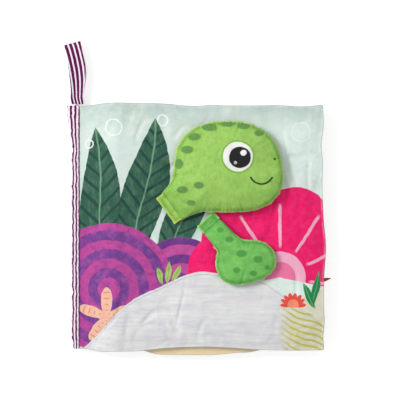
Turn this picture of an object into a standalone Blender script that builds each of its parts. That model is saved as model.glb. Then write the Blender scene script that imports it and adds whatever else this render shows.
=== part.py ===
"""Soft cloth activity book for a baby.

Four stuffed cloth leaves are bound at a striped spine, with a ribbon loop at its top end.
A stuffed turtle head and a padded flipper are sewn to the front cover by one edge each.
The book lies on its back cover. The origin is the middle of the back cover's underside,
+X runs from the spine to the free edge, +Y to the top of the page and +Z up.
"""
import math
from dataclasses import dataclass

import bmesh
import bpy
from mathutils import Matrix, Vector

# Leaves
COVER_WIDTH = 0.210
COVER_HEIGHT = 0.209
LEAF_THICKNESS = 0.0056
PANEL_THICKNESS = 0.0006
FILM_THICKNESS = 0.0003
CORNER_RADIUS = 0.005
SIDE_DRAW_IN = 0.0014
PUFF_RUN = 0.030
SPINE_RUN = 0.035
EDGE_DROOP = 0.0012

# Gaps between pieces
LEAF_GAP = 0.0004
FIT_GAP = 0.0003
SEAM_GAP = 0.0004

# Spine binding and the seam tabs inside it
BINDING_WIDTH = 0.007
TAPE_THICKNESS = 0.0006
TAPE_CORNER_RADIUS = 0.0018
TAB_END_GAP = 0.0010
TAB_ROUNDING = 0.0003

# Lobe and tab of the inner page
LOBE_DEPTH = 0.0045
LOBE_WIDTH = 0.100
LOBE_SHOULDER = 0.026
PAGE_TAB_LENGTH = 0.0072
PAGE_TAB_WIDTH = 0.0034
PAGE_TAB_THICKNESS = 0.0012
PAGE_TAB_FROM_TOP = 0.1500
PAGE_TAB_TAPER_SHARE = 0.92

# Ribbon loop
RIBBON_WIDTH = 0.0128
RIBBON_ROOT_WIDTH = 0.0094
RIBBON_THICKNESS = 0.0009
STRAP_LENGTH = 0.0520
STRAP_OPENING = 0.0080
STRAP_ROOT_GAP = 0.0006
STRAP_LEAN = math.radians(4.3)
STRAP_TIP_RISE = 0.0036
STRAP_FROM_SPINE = 0.0017
STRAP_TAIL_LENGTH = 0.0120
STRAP_TAIL_REACH = 0.0012

# Turtle head
HEAD_FROM_SPINE = 0.127
HEAD_FROM_TOP = 0.0525
HEAD_LENGTH = 0.090
HEAD_DEPTH = 0.078
HEAD_FRONT_SWELL = 0.0120
HEAD_BACK_SWELL = 0.0032
BEAK_REACH = 0.0050
BEAK_ANGLE = math.radians(-28)
BEAK_SPREAD = math.radians(34)
NECK_ANGLE = math.radians(216)
NECK_REACH = 0.0600
NECK_WIDTH = 0.0270
NECK_RISE_RUN = 0.0220
SQUEAKER_RADIUS = 0.0120
SQUEAKER_HEIGHT = 0.0070
SQUEAKER_ROUNDING = 0.0020

# Flipper
FLIPPER_FROM_SPINE = 0.1430
FLIPPER_FROM_TOP = 0.1345
PADDLE_LENGTH = 0.0520
PADDLE_DEPTH = 0.0360
PADDLE_TILT = math.radians(14)
FLIPPER_FRONT_SWELL = 0.0052
FLIPPER_BACK_SWELL = 0.0014
ARM_ANGLE = math.radians(133)
ARM_REACH = 0.0450
ARM_WIDTH = 0.0190
ARM_RISE_RUN = 0.0120

# Flat ends of the neck and the flipper, sewn to the cover
NECK_TAB_LENGTH = 0.0050
FLIPPER_TAB_LENGTH = 0.0060

# How finely the shapes are divided
EDGE_STEP_SHARES = (0.45, 1.0)
SPINE_STEP_SHARES = (0.0, 0.2, 0.45, 0.7, 1.0)
MIDDLE_STEPS = 5
FILLING_MARGIN_STEPS = 2
STRAP_STEPS = 30
ROUND_STEPS = 4
HEAD_SPOKES = 30
HEAD_RINGS = 12
FLIPPER_SPOKES = 24
FLIPPER_RINGS = 10
NECK_SPOKES = 3
STUFFING_SHARE = 0.82
STUFFING_SLACK_SHARE = 0.03
SWELL_POWER = 0.6
BODY_POWER = 2.4
OUTLINE_POWER = 4
STRAP_TIP_FULLNESS_SHARE = 0.35
SEWN_END_POWER = 0.7
CORNER_MARGIN_SHARE = 0.0001
EQUATOR_MARGIN = 0.001
PAGE_TAB_STEPS = 6
SQUEAKER_STEPS = 24
CLOTH_ROUGHNESS = 0.85
FILLING_ROUGHNESS = 0.95
FILM_ROUGHNESS = 0.3
PLASTIC_ROUGHNESS = 0.4

# Places and sizes that follow
HINGE_X = -COVER_WIDTH / 2
TOP_Y = COVER_HEIGHT / 2
BOTTOM_Y = -COVER_HEIGHT / 2
SEAM_THICKNESS = 2 * PANEL_THICKNESS + SEAM_GAP
LEAF_PITCH = LEAF_THICKNESS + LEAF_GAP
SPINE_PITCH = SEAM_THICKNESS + LEAF_GAP
LEAF_NAMES = ("back_cover", "page_2", "page_1", "front_cover")
STACK_HEIGHT = len(LEAF_NAMES) * LEAF_PITCH - LEAF_GAP
HINGE_Z = STACK_HEIGHT / 2
COVER_TOP_Z = STACK_HEIGHT
SEWN_Z = COVER_TOP_Z + LEAF_GAP + SEAM_THICKNESS / 2
SEWN_TOP_Z = SEWN_Z + SEAM_THICKNESS / 2
TABS_HEIGHT = (len(LEAF_NAMES) - 1) * SPINE_PITCH
STRAP_Z = LEAF_THICKNESS / 2 + TABS_HEIGHT / 2
STRAP_HINGE_Y = TOP_Y + STRAP_TAIL_REACH + FIT_GAP
STRAP_HINGE_Z = STRAP_Z + STRAP_ROOT_GAP / 2 + RIBBON_THICKNESS
STRAP_X = HINGE_X - STRAP_FROM_SPINE


def display_colour(red, green, blue):
    """Colour values of 0 to 255 as seen on a screen, made linear."""
    def linear(value):
        share = value / 255
        return share / 12.92 if share <= 0.04045 else ((share + 0.055) / 1.055) ** 2.4
    return (linear(red), linear(green), linear(blue), 1.0)


MINT = display_colour(208, 226, 221)
CREAM = display_colour(225, 206, 166)
SEA_BLUE = display_colour(150, 196, 206)
SAND = display_colour(228, 220, 204)
WHITE_FILL = display_colour(240, 240, 238)
FILM_SILVER = display_colour(205, 210, 214)
STRIPE_PURPLE = display_colour(128, 48, 112)
HEAD_GREEN = display_colour(146, 200, 92)
FLIPPER_GREEN = display_colour(108, 196, 92)
TAB_GREEN = display_colour(168, 205, 92)
TAB_ORANGE = display_colour(186, 84, 42)
SQUEAKER_WHITE = display_colour(232, 232, 228)


def clear_scene():
    for item in list(bpy.data.objects):
        bpy.data.objects.remove(item, do_unlink=True)


def new_collection(name):
    collection = bpy.data.collections.new(name)
    bpy.context.scene.collection.children.link(collection)
    return collection


def new_material(name, colour, roughness):
    material = bpy.data.materials.new(name)
    material.use_nodes = True
    shader = material.node_tree.nodes["Principled BSDF"]
    shader.inputs["Base Color"].default_value = colour
    shader.inputs["Roughness"].default_value = roughness
    shader.inputs["Metallic"].default_value = 0.0
    return material


def joint_empty(name, place, parent=None):
    """An empty on a joint's axis, which carries the pieces that the joint moves."""
    empty = bpy.data.objects.new(name, None)
    empty.location = place
    if parent is not None:
        empty.parent = parent
        empty.matrix_parent_inverse = Matrix.Translation(-Vector(parent["place"]))
    empty["place"] = tuple(place)
    BOOK.objects.link(empty)
    return empty


def new_piece(name, shape, colour, roughness, carrier=None):
    """An object from a bmesh that is already in its place in the book."""
    mesh = bpy.data.meshes.new(name)
    shape.to_mesh(mesh)
    shape.free()
    mesh.shade_smooth()
    mesh.set_sharp_from_angle(angle=math.radians(40))
    mesh.materials.append(new_material(name, colour, roughness))
    piece = bpy.data.objects.new(name, mesh)
    BOOK.objects.link(piece)
    if carrier is not None:
        piece.parent = carrier
        piece.matrix_parent_inverse = Matrix.Translation(-Vector(carrier["place"]))
    return piece


def add_solidify(piece, thickness):
    wall = piece.modifiers.new("wall", "SOLIDIFY")
    wall.thickness = thickness
    wall.offset = -1.0
    wall.use_even_offset = True


def add_bevel(piece, width):
    rounding = piece.modifiers.new("rounding", "BEVEL")
    rounding.width = width
    rounding.segments = 1
    rounding.limit_method = "ANGLE"


def ease(share):
    """0 to 1 with a level start and end."""
    share = min(max(share, 0.0), 1.0)
    return share * share * (3 - 2 * share)


def swell(share):
    """0 to 1, steep at first and level at the end, like a filled edge."""
    share = min(max(share, 0.0), 1.0)
    return 1 - (1 - share) ** 2


def spine_rise(across):
    return ease(across / SPINE_RUN)


def edge_fullness(across, up):
    """0 on the three free edges of a leaf and 1 where it is fully padded."""
    from_sides = swell(up / PUFF_RUN) * swell((COVER_HEIGHT - up) / PUFF_RUN)
    return from_sides * swell((COVER_WIDTH - across) / PUFF_RUN)


def leaf_middle(level, across, up):
    """Height of a leaf's middle surface. It falls to the binding and droops at the edges."""
    at_spine = LEAF_THICKNESS / 2 + level * SPINE_PITCH
    at_middle = LEAF_THICKNESS / 2 + level * LEAF_PITCH
    rise = spine_rise(across)
    droop = level * EDGE_DROOP * (1 - edge_fullness(across, up))
    return at_spine + rise * (at_middle - at_spine - droop)


def leaf_thickness(across, up):
    padding = LEAF_THICKNESS - SEAM_THICKNESS
    return SEAM_THICKNESS + padding * spine_rise(across) * edge_fullness(across, up)


def edge_lines():
    """Distances from a free edge of the lines that divide its padded border."""
    return [0.0, CORNER_RADIUS] + [PUFF_RUN * share for share in EDGE_STEP_SHARES]


def spread(start, end, steps):
    return [start + (end - start) * step / steps for step in range(1, steps)]


def lines_across():
    near_spine = [SPINE_RUN * share for share in SPINE_STEP_SHARES]
    near_edge = [COVER_WIDTH - distance for distance in reversed(edge_lines())]
    return near_spine + spread(near_spine[-1], near_edge[0], MIDDLE_STEPS) + near_edge


def lines_up():
    low = edge_lines()
    high = [COVER_HEIGHT - distance for distance in reversed(low)]
    return low + spread(low[-1], high[0], MIDDLE_STEPS) + high


def lobe(x):
    """Share of the page's lobe at x: level in the middle, with a soft shoulder each side."""
    return ease((LOBE_WIDTH / 2 + LOBE_SHOULDER / 2 - abs(x)) / LOBE_SHOULDER)


def plan_point(leaf, across, up):
    """Where a point of a leaf's flat grid lies, with rounded corners and drawn-in sides."""
    corner_cut = CORNER_RADIUS * (1 - math.sqrt(0.5))
    at_corner = across >= COVER_WIDTH and (up <= 0.0 or up >= COVER_HEIGHT)
    across_share = across / COVER_WIDTH
    up_share = 2 * up / COVER_HEIGHT - 1
    x = HINGE_X + max(across, FIT_GAP)
    y = BOTTOM_Y + up
    if at_corner:
        x -= corner_cut
        y -= math.copysign(corner_cut, up_share)
    x -= SIDE_DRAW_IN * across_share * (1 - up_share ** 2)
    y -= SIDE_DRAW_IN * up_share * (1 - (2 * across_share - 1) ** 2)
    if leaf == "page_1":
        y -= LOBE_DEPTH * lobe(x) * (1 - ease(up / PUFF_RUN))
    return x, y


@dataclass(frozen=True)
class Face:
    """A surface inside a leaf: its side (1 front, -1 back) and its depth under the fabric."""
    side: int
    depth: float


def leaf_layer(name, leaf, low, high, margin_steps, colour, roughness, carrier):
    """One layer of a leaf between two of its surfaces, from a flat grid extruded once."""
    level = LEAF_NAMES.index(leaf)
    across = lines_across()
    up = lines_up()
    across = across[margin_steps:len(across) - margin_steps]
    up = up[margin_steps:len(up) - margin_steps]
    columns = len(across) - 1
    rows = len(up) - 1
    shape = bmesh.new()
    bmesh.ops.create_grid(shape, x_segments=columns, y_segments=rows, size=1)
    extruded = bmesh.ops.extrude_face_region(shape, geom=shape.faces[:])
    upper = {part for part in extruded["geom"] if isinstance(part, bmesh.types.BMVert)}
    for vert in shape.verts:
        u = across[round((vert.co.x + 1) / 2 * columns)]
        v = up[round((vert.co.y + 1) / 2 * rows)]
        face = high if vert in upper else low
        half = leaf_thickness(u, v) / 2 - face.depth
        x, y = plan_point(leaf, u, v)
        vert.co = (x, y, leaf_middle(level, u, v) + face.side * half)
    bmesh.ops.recalc_face_normals(shape, faces=shape.faces[:])
    return new_piece(name, shape, colour, roughness, carrier)


def make_leaf(leaf, front_name, back_name, front_colour, back_colour, has_film, carrier):
    """The two fabric panels of a leaf and the filling between them."""
    under_panel = PANEL_THICKNESS + FIT_GAP
    film_depth = under_panel + FILM_THICKNESS
    filling_depth = film_depth + FIT_GAP if has_film else under_panel
    leaf_layer(f"{leaf}_{front_name}_panel", leaf, Face(1, PANEL_THICKNESS), Face(1, 0.0),
               0, front_colour, CLOTH_ROUGHNESS, carrier)
    leaf_layer(f"{leaf}_{back_name}_panel", leaf, Face(-1, 0.0), Face(-1, PANEL_THICKNESS),
               0, back_colour, CLOTH_ROUGHNESS, carrier)
    leaf_layer(f"{leaf}_wadding", leaf, Face(-1, under_panel), Face(1, filling_depth),
               FILLING_MARGIN_STEPS, WHITE_FILL, FILLING_ROUGHNESS, carrier)
    if has_film:
        leaf_layer(f"{leaf}_crackle_film", leaf, Face(1, film_depth), Face(1, under_panel),
                   FILLING_MARGIN_STEPS, FILM_SILVER, FILM_ROUGHNESS, carrier)


def slab(name, low, high, colour, carrier=None):
    """A flat strip with eased edges, from a cube."""
    low = Vector(low)
    high = Vector(high)
    size = high - low
    shape = bmesh.new()
    bmesh.ops.create_cube(shape, size=1)
    bmesh.ops.scale(shape, vec=size, verts=shape.verts[:])
    bmesh.ops.translate(shape, vec=(low + high) / 2, verts=shape.verts[:])
    piece = new_piece(name, shape, colour, CLOTH_ROUGHNESS, carrier)
    add_bevel(piece, TAB_ROUNDING)
    return piece


def make_seam_tabs():
    """The leaves' seam allowances, one above the other inside the folded tape."""
    near = HINGE_X - FIT_GAP
    far = HINGE_X - BINDING_WIDTH + TAPE_THICKNESS + TAB_END_GAP
    short_top = TOP_Y - STRAP_TAIL_LENGTH - FIT_GAP
    colours = (MINT, SEA_BLUE, CREAM, MINT)
    for level, leaf in enumerate(LEAF_NAMES):
        middle = LEAF_THICKNESS / 2 + level * SPINE_PITCH
        top = short_top if leaf.startswith("page") else TOP_Y
        slab(f"{leaf}_seam_tab", (far, BOTTOM_Y, middle - SEAM_THICKNESS / 2),
             (near, top, middle + SEAM_THICKNESS / 2), colours[level])


def binding_profile():
    """The tape's outer surface in section: over the tabs, round the spine and back."""
    bottom = LEAF_THICKNESS / 2 - SEAM_THICKNESS / 2 - LEAF_GAP - TAPE_THICKNESS
    tab_top = LEAF_THICKNESS / 2 + TABS_HEIGHT + SEAM_THICKNESS / 2
    top = tab_top + LEAF_GAP + TAPE_THICKNESS
    left = HINGE_X - BINDING_WIDTH
    radius = TAPE_CORNER_RADIUS
    corners = (((left + radius, top - radius), math.pi / 2),
               ((left + radius, bottom + radius), math.pi))
    profile = [(HINGE_X, top)]
    for (x, z), start in corners:
        for step in range(ROUND_STEPS + 1):
            angle = start + math.pi / 2 * step / ROUND_STEPS
            profile.append((x + radius * math.cos(angle), z + radius * math.sin(angle)))
    profile.append((HINGE_X, bottom))
    return profile


def make_binding():
    shape = bmesh.new()
    line = [shape.verts.new((x, BOTTOM_Y, z)) for x, z in binding_profile()]
    edges = [shape.edges.new(pair) for pair in zip(line, line[1:])]
    drawn = bmesh.ops.extrude_edge_only(shape, edges=edges)
    moved = [part for part in drawn["geom"] if isinstance(part, bmesh.types.BMVert)]
    bmesh.ops.translate(shape, vec=(0, COVER_HEIGHT, 0), verts=moved)
    bmesh.ops.recalc_face_normals(shape, faces=shape.faces[:])
    outward = sum(face.normal.x * face.calc_area() for face in shape.faces)
    if outward > 0:
        bmesh.ops.reverse_faces(shape, faces=shape.faces[:])
    binding = new_piece("spine_binding", shape, STRIPE_PURPLE, CLOTH_ROUGHNESS)
    add_solidify(binding, TAPE_THICKNESS)


def teardrop(turn):
    """How far a loop stands off its middle line: narrow at its root, full before its tip."""
    fullness = 1 - STRAP_TIP_FULLNESS_SHARE * math.cos(turn)
    return math.sin(turn) * math.sin(turn / 2) * fullness


def make_strap(carrier):
    """The ribbon loop: a strip that goes out along the top and comes back underneath."""
    tail_low = LEAF_THICKNESS / 2 + SEAM_THICKNESS / 2 + LEAF_GAP
    tail_high = tail_low + 2 * SEAM_THICKNESS + LEAF_GAP
    far = HINGE_X - BINDING_WIDTH + TAPE_THICKNESS + TAB_END_GAP
    slab("strap_tail", (far, TOP_Y - STRAP_TAIL_LENGTH, tail_low),
         (HINGE_X - FIT_GAP, TOP_Y + STRAP_TAIL_REACH, tail_high), STRIPE_PURPLE)
    half_opening = (STRAP_OPENING + RIBBON_THICKNESS) / 2
    half_root = (STRAP_ROOT_GAP + RIBBON_THICKNESS) / 2
    widest = max(teardrop(turn) for turn in spread(0.0, math.pi, STRAP_STEPS))
    shape = bmesh.new()
    bmesh.ops.create_grid(shape, x_segments=2, y_segments=STRAP_STEPS, size=1)
    for vert in shape.verts:
        turn = (vert.co.y + 1) * math.pi
        along = (1 - math.cos(turn)) / 2
        bulge = half_opening * teardrop(turn) / widest
        width = RIBBON_ROOT_WIDTH + (RIBBON_WIDTH - RIBBON_ROOT_WIDTH) * ease(2 * along)
        distance = (STRAP_LENGTH - STRAP_TIP_RISE / 2) * along
        x = STRAP_X + vert.co.x * width / 2 - math.tan(STRAP_LEAN) * distance
        y = STRAP_HINGE_Y + distance + vert.co.x * along * STRAP_TIP_RISE / 2
        z = STRAP_Z + bulge + half_root * math.cos(turn / 2)
        vert.co = (x, y, z)
    bmesh.ops.recalc_face_normals(shape, faces=shape.faces[:])
    strap = new_piece("strap_loop", shape, STRIPE_PURPLE, CLOTH_ROUGHNESS, carrier)
    wall = strap.modifiers.new("ribbon", "SOLIDIFY")
    wall.thickness = RIBBON_THICKNESS
    wall.offset = 0.0
    wall.use_even_offset = True


def make_page_tab(carrier):
    """The small pointed tab sewn to the free edge of the inner page."""
    level = LEAF_NAMES.index("page_1")
    up = COVER_HEIGHT - PAGE_TAB_FROM_TOP
    edge_x, y = plan_point("page_1", COVER_WIDTH, up)
    middle = leaf_middle(level, COVER_WIDTH, up)
    root = edge_x + FIT_GAP
    shape = bmesh.new()
    bmesh.ops.create_grid(shape, x_segments=PAGE_TAB_STEPS, y_segments=1, size=1)
    for vert in shape.verts:
        along = (vert.co.x + 1) / 2
        half_width = PAGE_TAB_WIDTH / 2 * math.cos(along * math.pi / 2 * PAGE_TAB_TAPER_SHARE)
        x = root + PAGE_TAB_LENGTH * along
        lift = PAGE_TAB_WIDTH / 2 * along
        vert.co = (x, y + lift + vert.co.y * half_width, middle + PAGE_TAB_THICKNESS / 2)
    bmesh.ops.recalc_face_normals(shape, faces=shape.faces[:])
    tab = new_piece("page_tab", shape, TAB_ORANGE, CLOTH_ROUGHNESS, carrier)
    add_solidify(tab, PAGE_TAB_THICKNESS)


@dataclass(frozen=True)
class Pad:
    """A stuffed shape with an oval body and a flat-ended neck that is sewn to the cover."""
    name: str
    centre: Vector
    length: float
    depth: float
    tilt: float
    beak_reach: float
    beak_angle: float
    beak_spread: float
    neck_angle: float
    neck_reach: float
    neck_width: float
    rise_run: float
    front_swell: float
    back_swell: float
    spokes: int
    rings: int

    def neck_direction(self):
        return Vector((math.cos(self.neck_angle), math.sin(self.neck_angle)))

    def neck_end(self):
        return self.centre + self.neck_direction() * self.neck_reach

    def corner_angle(self):
        """Angle between the neck's middle line and a corner of its flat end."""
        return math.atan2(self.neck_width / 2, self.neck_reach)

    def radius(self, from_neck):
        """Distance from the centre to the outline, at an angle from the neck."""
        angle = self.neck_angle + from_neck
        half_length = self.length / 2
        half_depth = self.depth / 2
        along = abs(math.cos(angle - self.tilt)) / half_length
        across = abs(math.sin(angle - self.tilt)) / half_depth
        body = (along ** BODY_POWER + across ** BODY_POWER) ** (-1 / BODY_POWER)
        beak_turn = math.remainder(angle - self.beak_angle, math.tau)
        body += self.beak_reach * math.exp(-(beak_turn / self.beak_spread) ** 2)
        if abs(from_neck) >= math.pi / 2:
            return body
        flat_end = self.neck_reach / math.cos(from_neck)
        if abs(from_neck) <= self.corner_angle() * (1 + CORNER_MARGIN_SHARE):
            return flat_end
        neck_side = self.neck_width / 2 / math.sin(abs(from_neck))
        both = body ** OUTLINE_POWER + neck_side ** OUTLINE_POWER
        return min(flat_end, both ** (1 / OUTLINE_POWER))

    def spoke_angle(self, turn):
        """An even turn of -pi to pi, drawn together so that spokes meet the neck's corners."""
        spoke = abs(turn) / math.tau * self.spokes
        corner = self.corner_angle()
        if spoke <= NECK_SPOKES:
            angle = corner * spoke / NECK_SPOKES
        else:
            rest = (spoke - NECK_SPOKES) / (self.spokes / 2 - NECK_SPOKES)
            angle = corner + (math.pi - corner) * rest
        return math.copysign(angle, turn)

    def plan(self, ball_x, ball_y, size_share):
        """Place in plan of a point of the unit ball's shadow."""
        ring = math.hypot(ball_x, ball_y)
        from_neck = self.spoke_angle(math.atan2(ball_y, ball_x))
        reach = self.radius(from_neck) * ring * size_share
        angle = self.neck_angle + from_neck
        return self.centre + Vector((math.cos(angle), math.sin(angle))) * reach

    def from_seam(self, point):
        """Distance from the sewn line at the end of the neck."""
        return max((self.neck_end() - point).dot(self.neck_direction()), 0.0)

    def seam_height(self, point):
        """Height of the seam between the two panels: low at the sewn line."""
        raised = self.back_swell * ease(self.from_seam(point) / self.rise_run)
        return SEWN_Z + raised

    def surface(self, point, ring, side):
        """Height of the front (side 1) or back (side -1) panel's outer surface."""
        taper = min(self.from_seam(point) / self.rise_run, 1.0) ** SEWN_END_POWER
        most = self.front_swell if side > 0 else self.back_swell
        bulge = most * max(1 - ring * ring, 0.0) ** SWELL_POWER * taper
        return self.seam_height(point) + side * (SEAM_THICKNESS / 2 + bulge)


def pad_ball(pad):
    shape = bmesh.new()
    bmesh.ops.create_uvsphere(shape, u_segments=pad.spokes, v_segments=pad.rings, radius=1)
    return shape


def make_pad_panel(pad, name, side, colour, carrier):
    """Half of a ball, drawn out to the pad's outline and given the panel's thickness."""
    shape = pad_ball(pad)
    other_half = [vert for vert in shape.verts if vert.co.z * side < -EQUATOR_MARGIN]
    bmesh.ops.delete(shape, geom=other_half, context="VERTS")
    for vert in shape.verts:
        ring = min(math.hypot(vert.co.x, vert.co.y), 1.0)
        point = pad.plan(vert.co.x, vert.co.y, 1.0)
        vert.co = (point.x, point.y, pad.surface(point, ring, side))
    panel = new_piece(f"{pad.name}_{name}_panel", shape, colour, CLOTH_ROUGHNESS, carrier)
    add_solidify(panel, PANEL_THICKNESS)


def make_stuffing(pad, carrier):
    """The filling: the pad's own form, smaller all round."""
    shape = pad_ball(pad)
    under_panel = PANEL_THICKNESS + 2 * FIT_GAP
    front_slack = STUFFING_SLACK_SHARE * pad.front_swell
    for vert in shape.verts:
        ring = math.hypot(vert.co.x, vert.co.y) * STUFFING_SHARE
        point = pad.plan(vert.co.x, vert.co.y, STUFFING_SHARE)
        front = pad.surface(point, ring, 1) - under_panel - front_slack
        back = pad.surface(point, ring, -1) + under_panel
        if abs(vert.co.z) < EQUATOR_MARGIN:
            height = (front + back) / 2
        else:
            height = front if vert.co.z > 0 else back
        vert.co = (point.x, point.y, height)
    return new_piece(f"{pad.name}_stuffing", shape, WHITE_FILL, FILLING_ROUGHNESS, carrier)


def make_squeaker(pad, stuffing, carrier):
    """A flat round squeaker in a pocket of the stuffing, which is open at the back."""
    bottom = SEWN_Z + LEAF_GAP + PANEL_THICKNESS
    profile = [(0.0, bottom), (SQUEAKER_RADIUS - SQUEAKER_ROUNDING, bottom)]
    middle_x = SQUEAKER_RADIUS - SQUEAKER_ROUNDING
    top = bottom + SQUEAKER_HEIGHT
    for step in range(1, 2 * ROUND_STEPS):
        angle = math.pi * step / (2 * ROUND_STEPS)
        x = middle_x + SQUEAKER_ROUNDING * math.sin(angle)
        z = (bottom + top) / 2 - SQUEAKER_HEIGHT / 2 * math.cos(angle)
        profile.append((x, z))
    profile += [(middle_x, top), (0.0, top)]
    shape = bmesh.new()
    line = [shape.verts.new((x, 0.0, z - bottom)) for x, z in profile]
    for pair in zip(line, line[1:]):
        shape.edges.new(pair)
    squeaker = new_piece("head_squeaker", shape, SQUEAKER_WHITE, PLASTIC_ROUGHNESS)
    squeaker.location = (pad.centre.x, pad.centre.y, bottom)
    squeaker.parent = carrier
    squeaker.matrix_parent_inverse = Matrix.Translation(-Vector(carrier["place"]))
    screw = squeaker.modifiers.new("turned", "SCREW")
    screw.steps = SQUEAKER_STEPS
    screw.render_steps = SQUEAKER_STEPS
    screw.use_merge_vertices = True
    screw.merge_threshold = FIT_GAP / 10
    screw.use_normal_calculate = True
    cutter_shape = bmesh.new()
    bmesh.ops.create_cone(cutter_shape, cap_ends=True, segments=SQUEAKER_STEPS, depth=2 * top,
                          radius1=SQUEAKER_RADIUS + FIT_GAP, radius2=SQUEAKER_RADIUS + FIT_GAP)
    bmesh.ops.translate(cutter_shape, vec=(pad.centre.x, pad.centre.y, FIT_GAP),
                        verts=cutter_shape.verts[:])
    mesh = bpy.data.meshes.new("squeaker_pocket_cutter")
    cutter_shape.to_mesh(mesh)
    cutter_shape.free()
    cutter = bpy.data.objects.new("squeaker_pocket_cutter", mesh)
    CUTTERS.objects.link(cutter)
    cutter.hide_render = True
    cutter.display_type = "WIRE"
    pocket = stuffing.modifiers.new("squeaker pocket", "BOOLEAN")
    pocket.operation = "DIFFERENCE"
    pocket.object = cutter


def make_sewn_tab(pad, name, length, colour, carrier):
    """The flat end of a neck, sewn down on the cover beyond the fold line."""
    out = pad.neck_direction()
    side = Vector((-out.y, out.x))
    start = pad.neck_end() + out * FIT_GAP
    shape = bmesh.new()
    bmesh.ops.create_cube(shape, size=1)
    for vert in shape.verts:
        along = (vert.co.x + 0.5) * length
        across = vert.co.y * pad.neck_width
        point = start + out * along + side * across
        vert.co = (point.x, point.y, SEWN_Z + vert.co.z * SEAM_THICKNESS)
    tab = new_piece(name, shape, colour, CLOTH_ROUGHNESS, carrier)
    add_bevel(tab, TAB_ROUNDING)


def cover_place(from_spine, from_top):
    return Vector((HINGE_X + from_spine, TOP_Y - from_top))


def make_head(cover):
    pad = Pad(name="head", centre=cover_place(HEAD_FROM_SPINE, HEAD_FROM_TOP),
              length=HEAD_LENGTH, depth=HEAD_DEPTH, tilt=0.0,
              beak_reach=BEAK_REACH, beak_angle=BEAK_ANGLE, beak_spread=BEAK_SPREAD,
              neck_angle=NECK_ANGLE, neck_reach=NECK_REACH, neck_width=NECK_WIDTH,
              rise_run=NECK_RISE_RUN, front_swell=HEAD_FRONT_SWELL,
              back_swell=HEAD_BACK_SWELL, spokes=HEAD_SPOKES, rings=HEAD_RINGS)
    fold = pad.neck_end()
    carrier = joint_empty("head_fold", (fold.x, fold.y, SEWN_TOP_Z), cover)
    make_pad_panel(pad, "front", 1, HEAD_GREEN, carrier)
    make_pad_panel(pad, "back", -1, HEAD_GREEN, carrier)
    stuffing = make_stuffing(pad, carrier)
    make_squeaker(pad, stuffing, carrier)
    make_sewn_tab(pad, "neck_seam_tab", NECK_TAB_LENGTH, TAB_GREEN, cover)


def make_flipper(cover):
    pad = Pad(name="flipper", centre=cover_place(FLIPPER_FROM_SPINE, FLIPPER_FROM_TOP),
              length=PADDLE_LENGTH, depth=PADDLE_DEPTH, tilt=PADDLE_TILT,
              beak_reach=0.0, beak_angle=PADDLE_TILT, beak_spread=math.pi,
              neck_angle=ARM_ANGLE, neck_reach=ARM_REACH, neck_width=ARM_WIDTH,
              rise_run=ARM_RISE_RUN, front_swell=FLIPPER_FRONT_SWELL,
              back_swell=FLIPPER_BACK_SWELL, spokes=FLIPPER_SPOKES, rings=FLIPPER_RINGS)
    fold = pad.neck_end()
    carrier = joint_empty("flipper_fold", (fold.x, fold.y, SEWN_TOP_Z), cover)
    make_pad_panel(pad, "front", 1, FLIPPER_GREEN, carrier)
    make_pad_panel(pad, "back", -1, FLIPPER_GREEN, carrier)
    make_stuffing(pad, carrier)
    make_sewn_tab(pad, "flipper_seam_tab", FLIPPER_TAB_LENGTH, FLIPPER_GREEN, cover)


def make_book():
    make_binding()
    make_seam_tabs()
    make_leaf("back_cover", "lining", "outer", SAND, MINT, False, None)
    page_2 = joint_empty("page_2_hinge", (HINGE_X, 0.0, HINGE_Z))
    make_leaf("page_2", "front", "back", SEA_BLUE, SAND, True, page_2)
    page_1 = joint_empty("page_1_hinge", (HINGE_X, 0.0, HINGE_Z), page_2)
    make_leaf("page_1", "front", "back", CREAM, SEA_BLUE, False, page_1)
    make_page_tab(page_1)
    cover = joint_empty("cover_hinge", (HINGE_X, 0.0, HINGE_Z), page_1)
    make_leaf("front_cover", "outer", "lining", MINT, CREAM, True, cover)
    make_head(cover)
    make_flipper(cover)
    strap = joint_empty("strap_hinge", (STRAP_X, STRAP_HINGE_Y, STRAP_HINGE_Z))
    make_strap(strap)


clear_scene()
BOOK = new_collection("activity_book")
CUTTERS = new_collection("cutters")
make_book()
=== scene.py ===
"""Looks of the cloth activity book: padded leaves, striped spine, stuffed turtle and loop."""
import math

import bpy
import numpy as np
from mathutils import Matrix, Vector, noise


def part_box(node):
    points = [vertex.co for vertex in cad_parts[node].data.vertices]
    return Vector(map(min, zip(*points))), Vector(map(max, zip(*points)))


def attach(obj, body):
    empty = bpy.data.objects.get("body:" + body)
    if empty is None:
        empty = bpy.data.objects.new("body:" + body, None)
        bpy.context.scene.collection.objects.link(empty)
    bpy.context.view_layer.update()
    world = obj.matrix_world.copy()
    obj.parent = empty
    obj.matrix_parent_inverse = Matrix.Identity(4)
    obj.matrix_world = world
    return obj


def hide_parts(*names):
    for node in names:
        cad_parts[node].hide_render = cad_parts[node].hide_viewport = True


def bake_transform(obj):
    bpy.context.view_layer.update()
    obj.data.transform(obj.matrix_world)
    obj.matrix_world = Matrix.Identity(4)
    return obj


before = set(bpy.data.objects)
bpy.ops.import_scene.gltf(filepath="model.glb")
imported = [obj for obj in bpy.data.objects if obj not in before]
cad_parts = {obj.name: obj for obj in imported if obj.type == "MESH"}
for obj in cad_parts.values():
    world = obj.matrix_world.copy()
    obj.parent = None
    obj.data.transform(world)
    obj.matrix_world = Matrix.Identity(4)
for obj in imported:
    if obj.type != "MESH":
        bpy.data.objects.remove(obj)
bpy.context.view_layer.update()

bl_info = {
    "name": "Cloth Activity Book",
    "version": (1, 0, 0),
    "blender": (4, 5, 0),
    "location": "View3D > Sidebar > Activity Book",
    "description": "Padded cloth book with a stuffed turtle head and flipper on its cover",
    "category": "Object",
}

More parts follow.
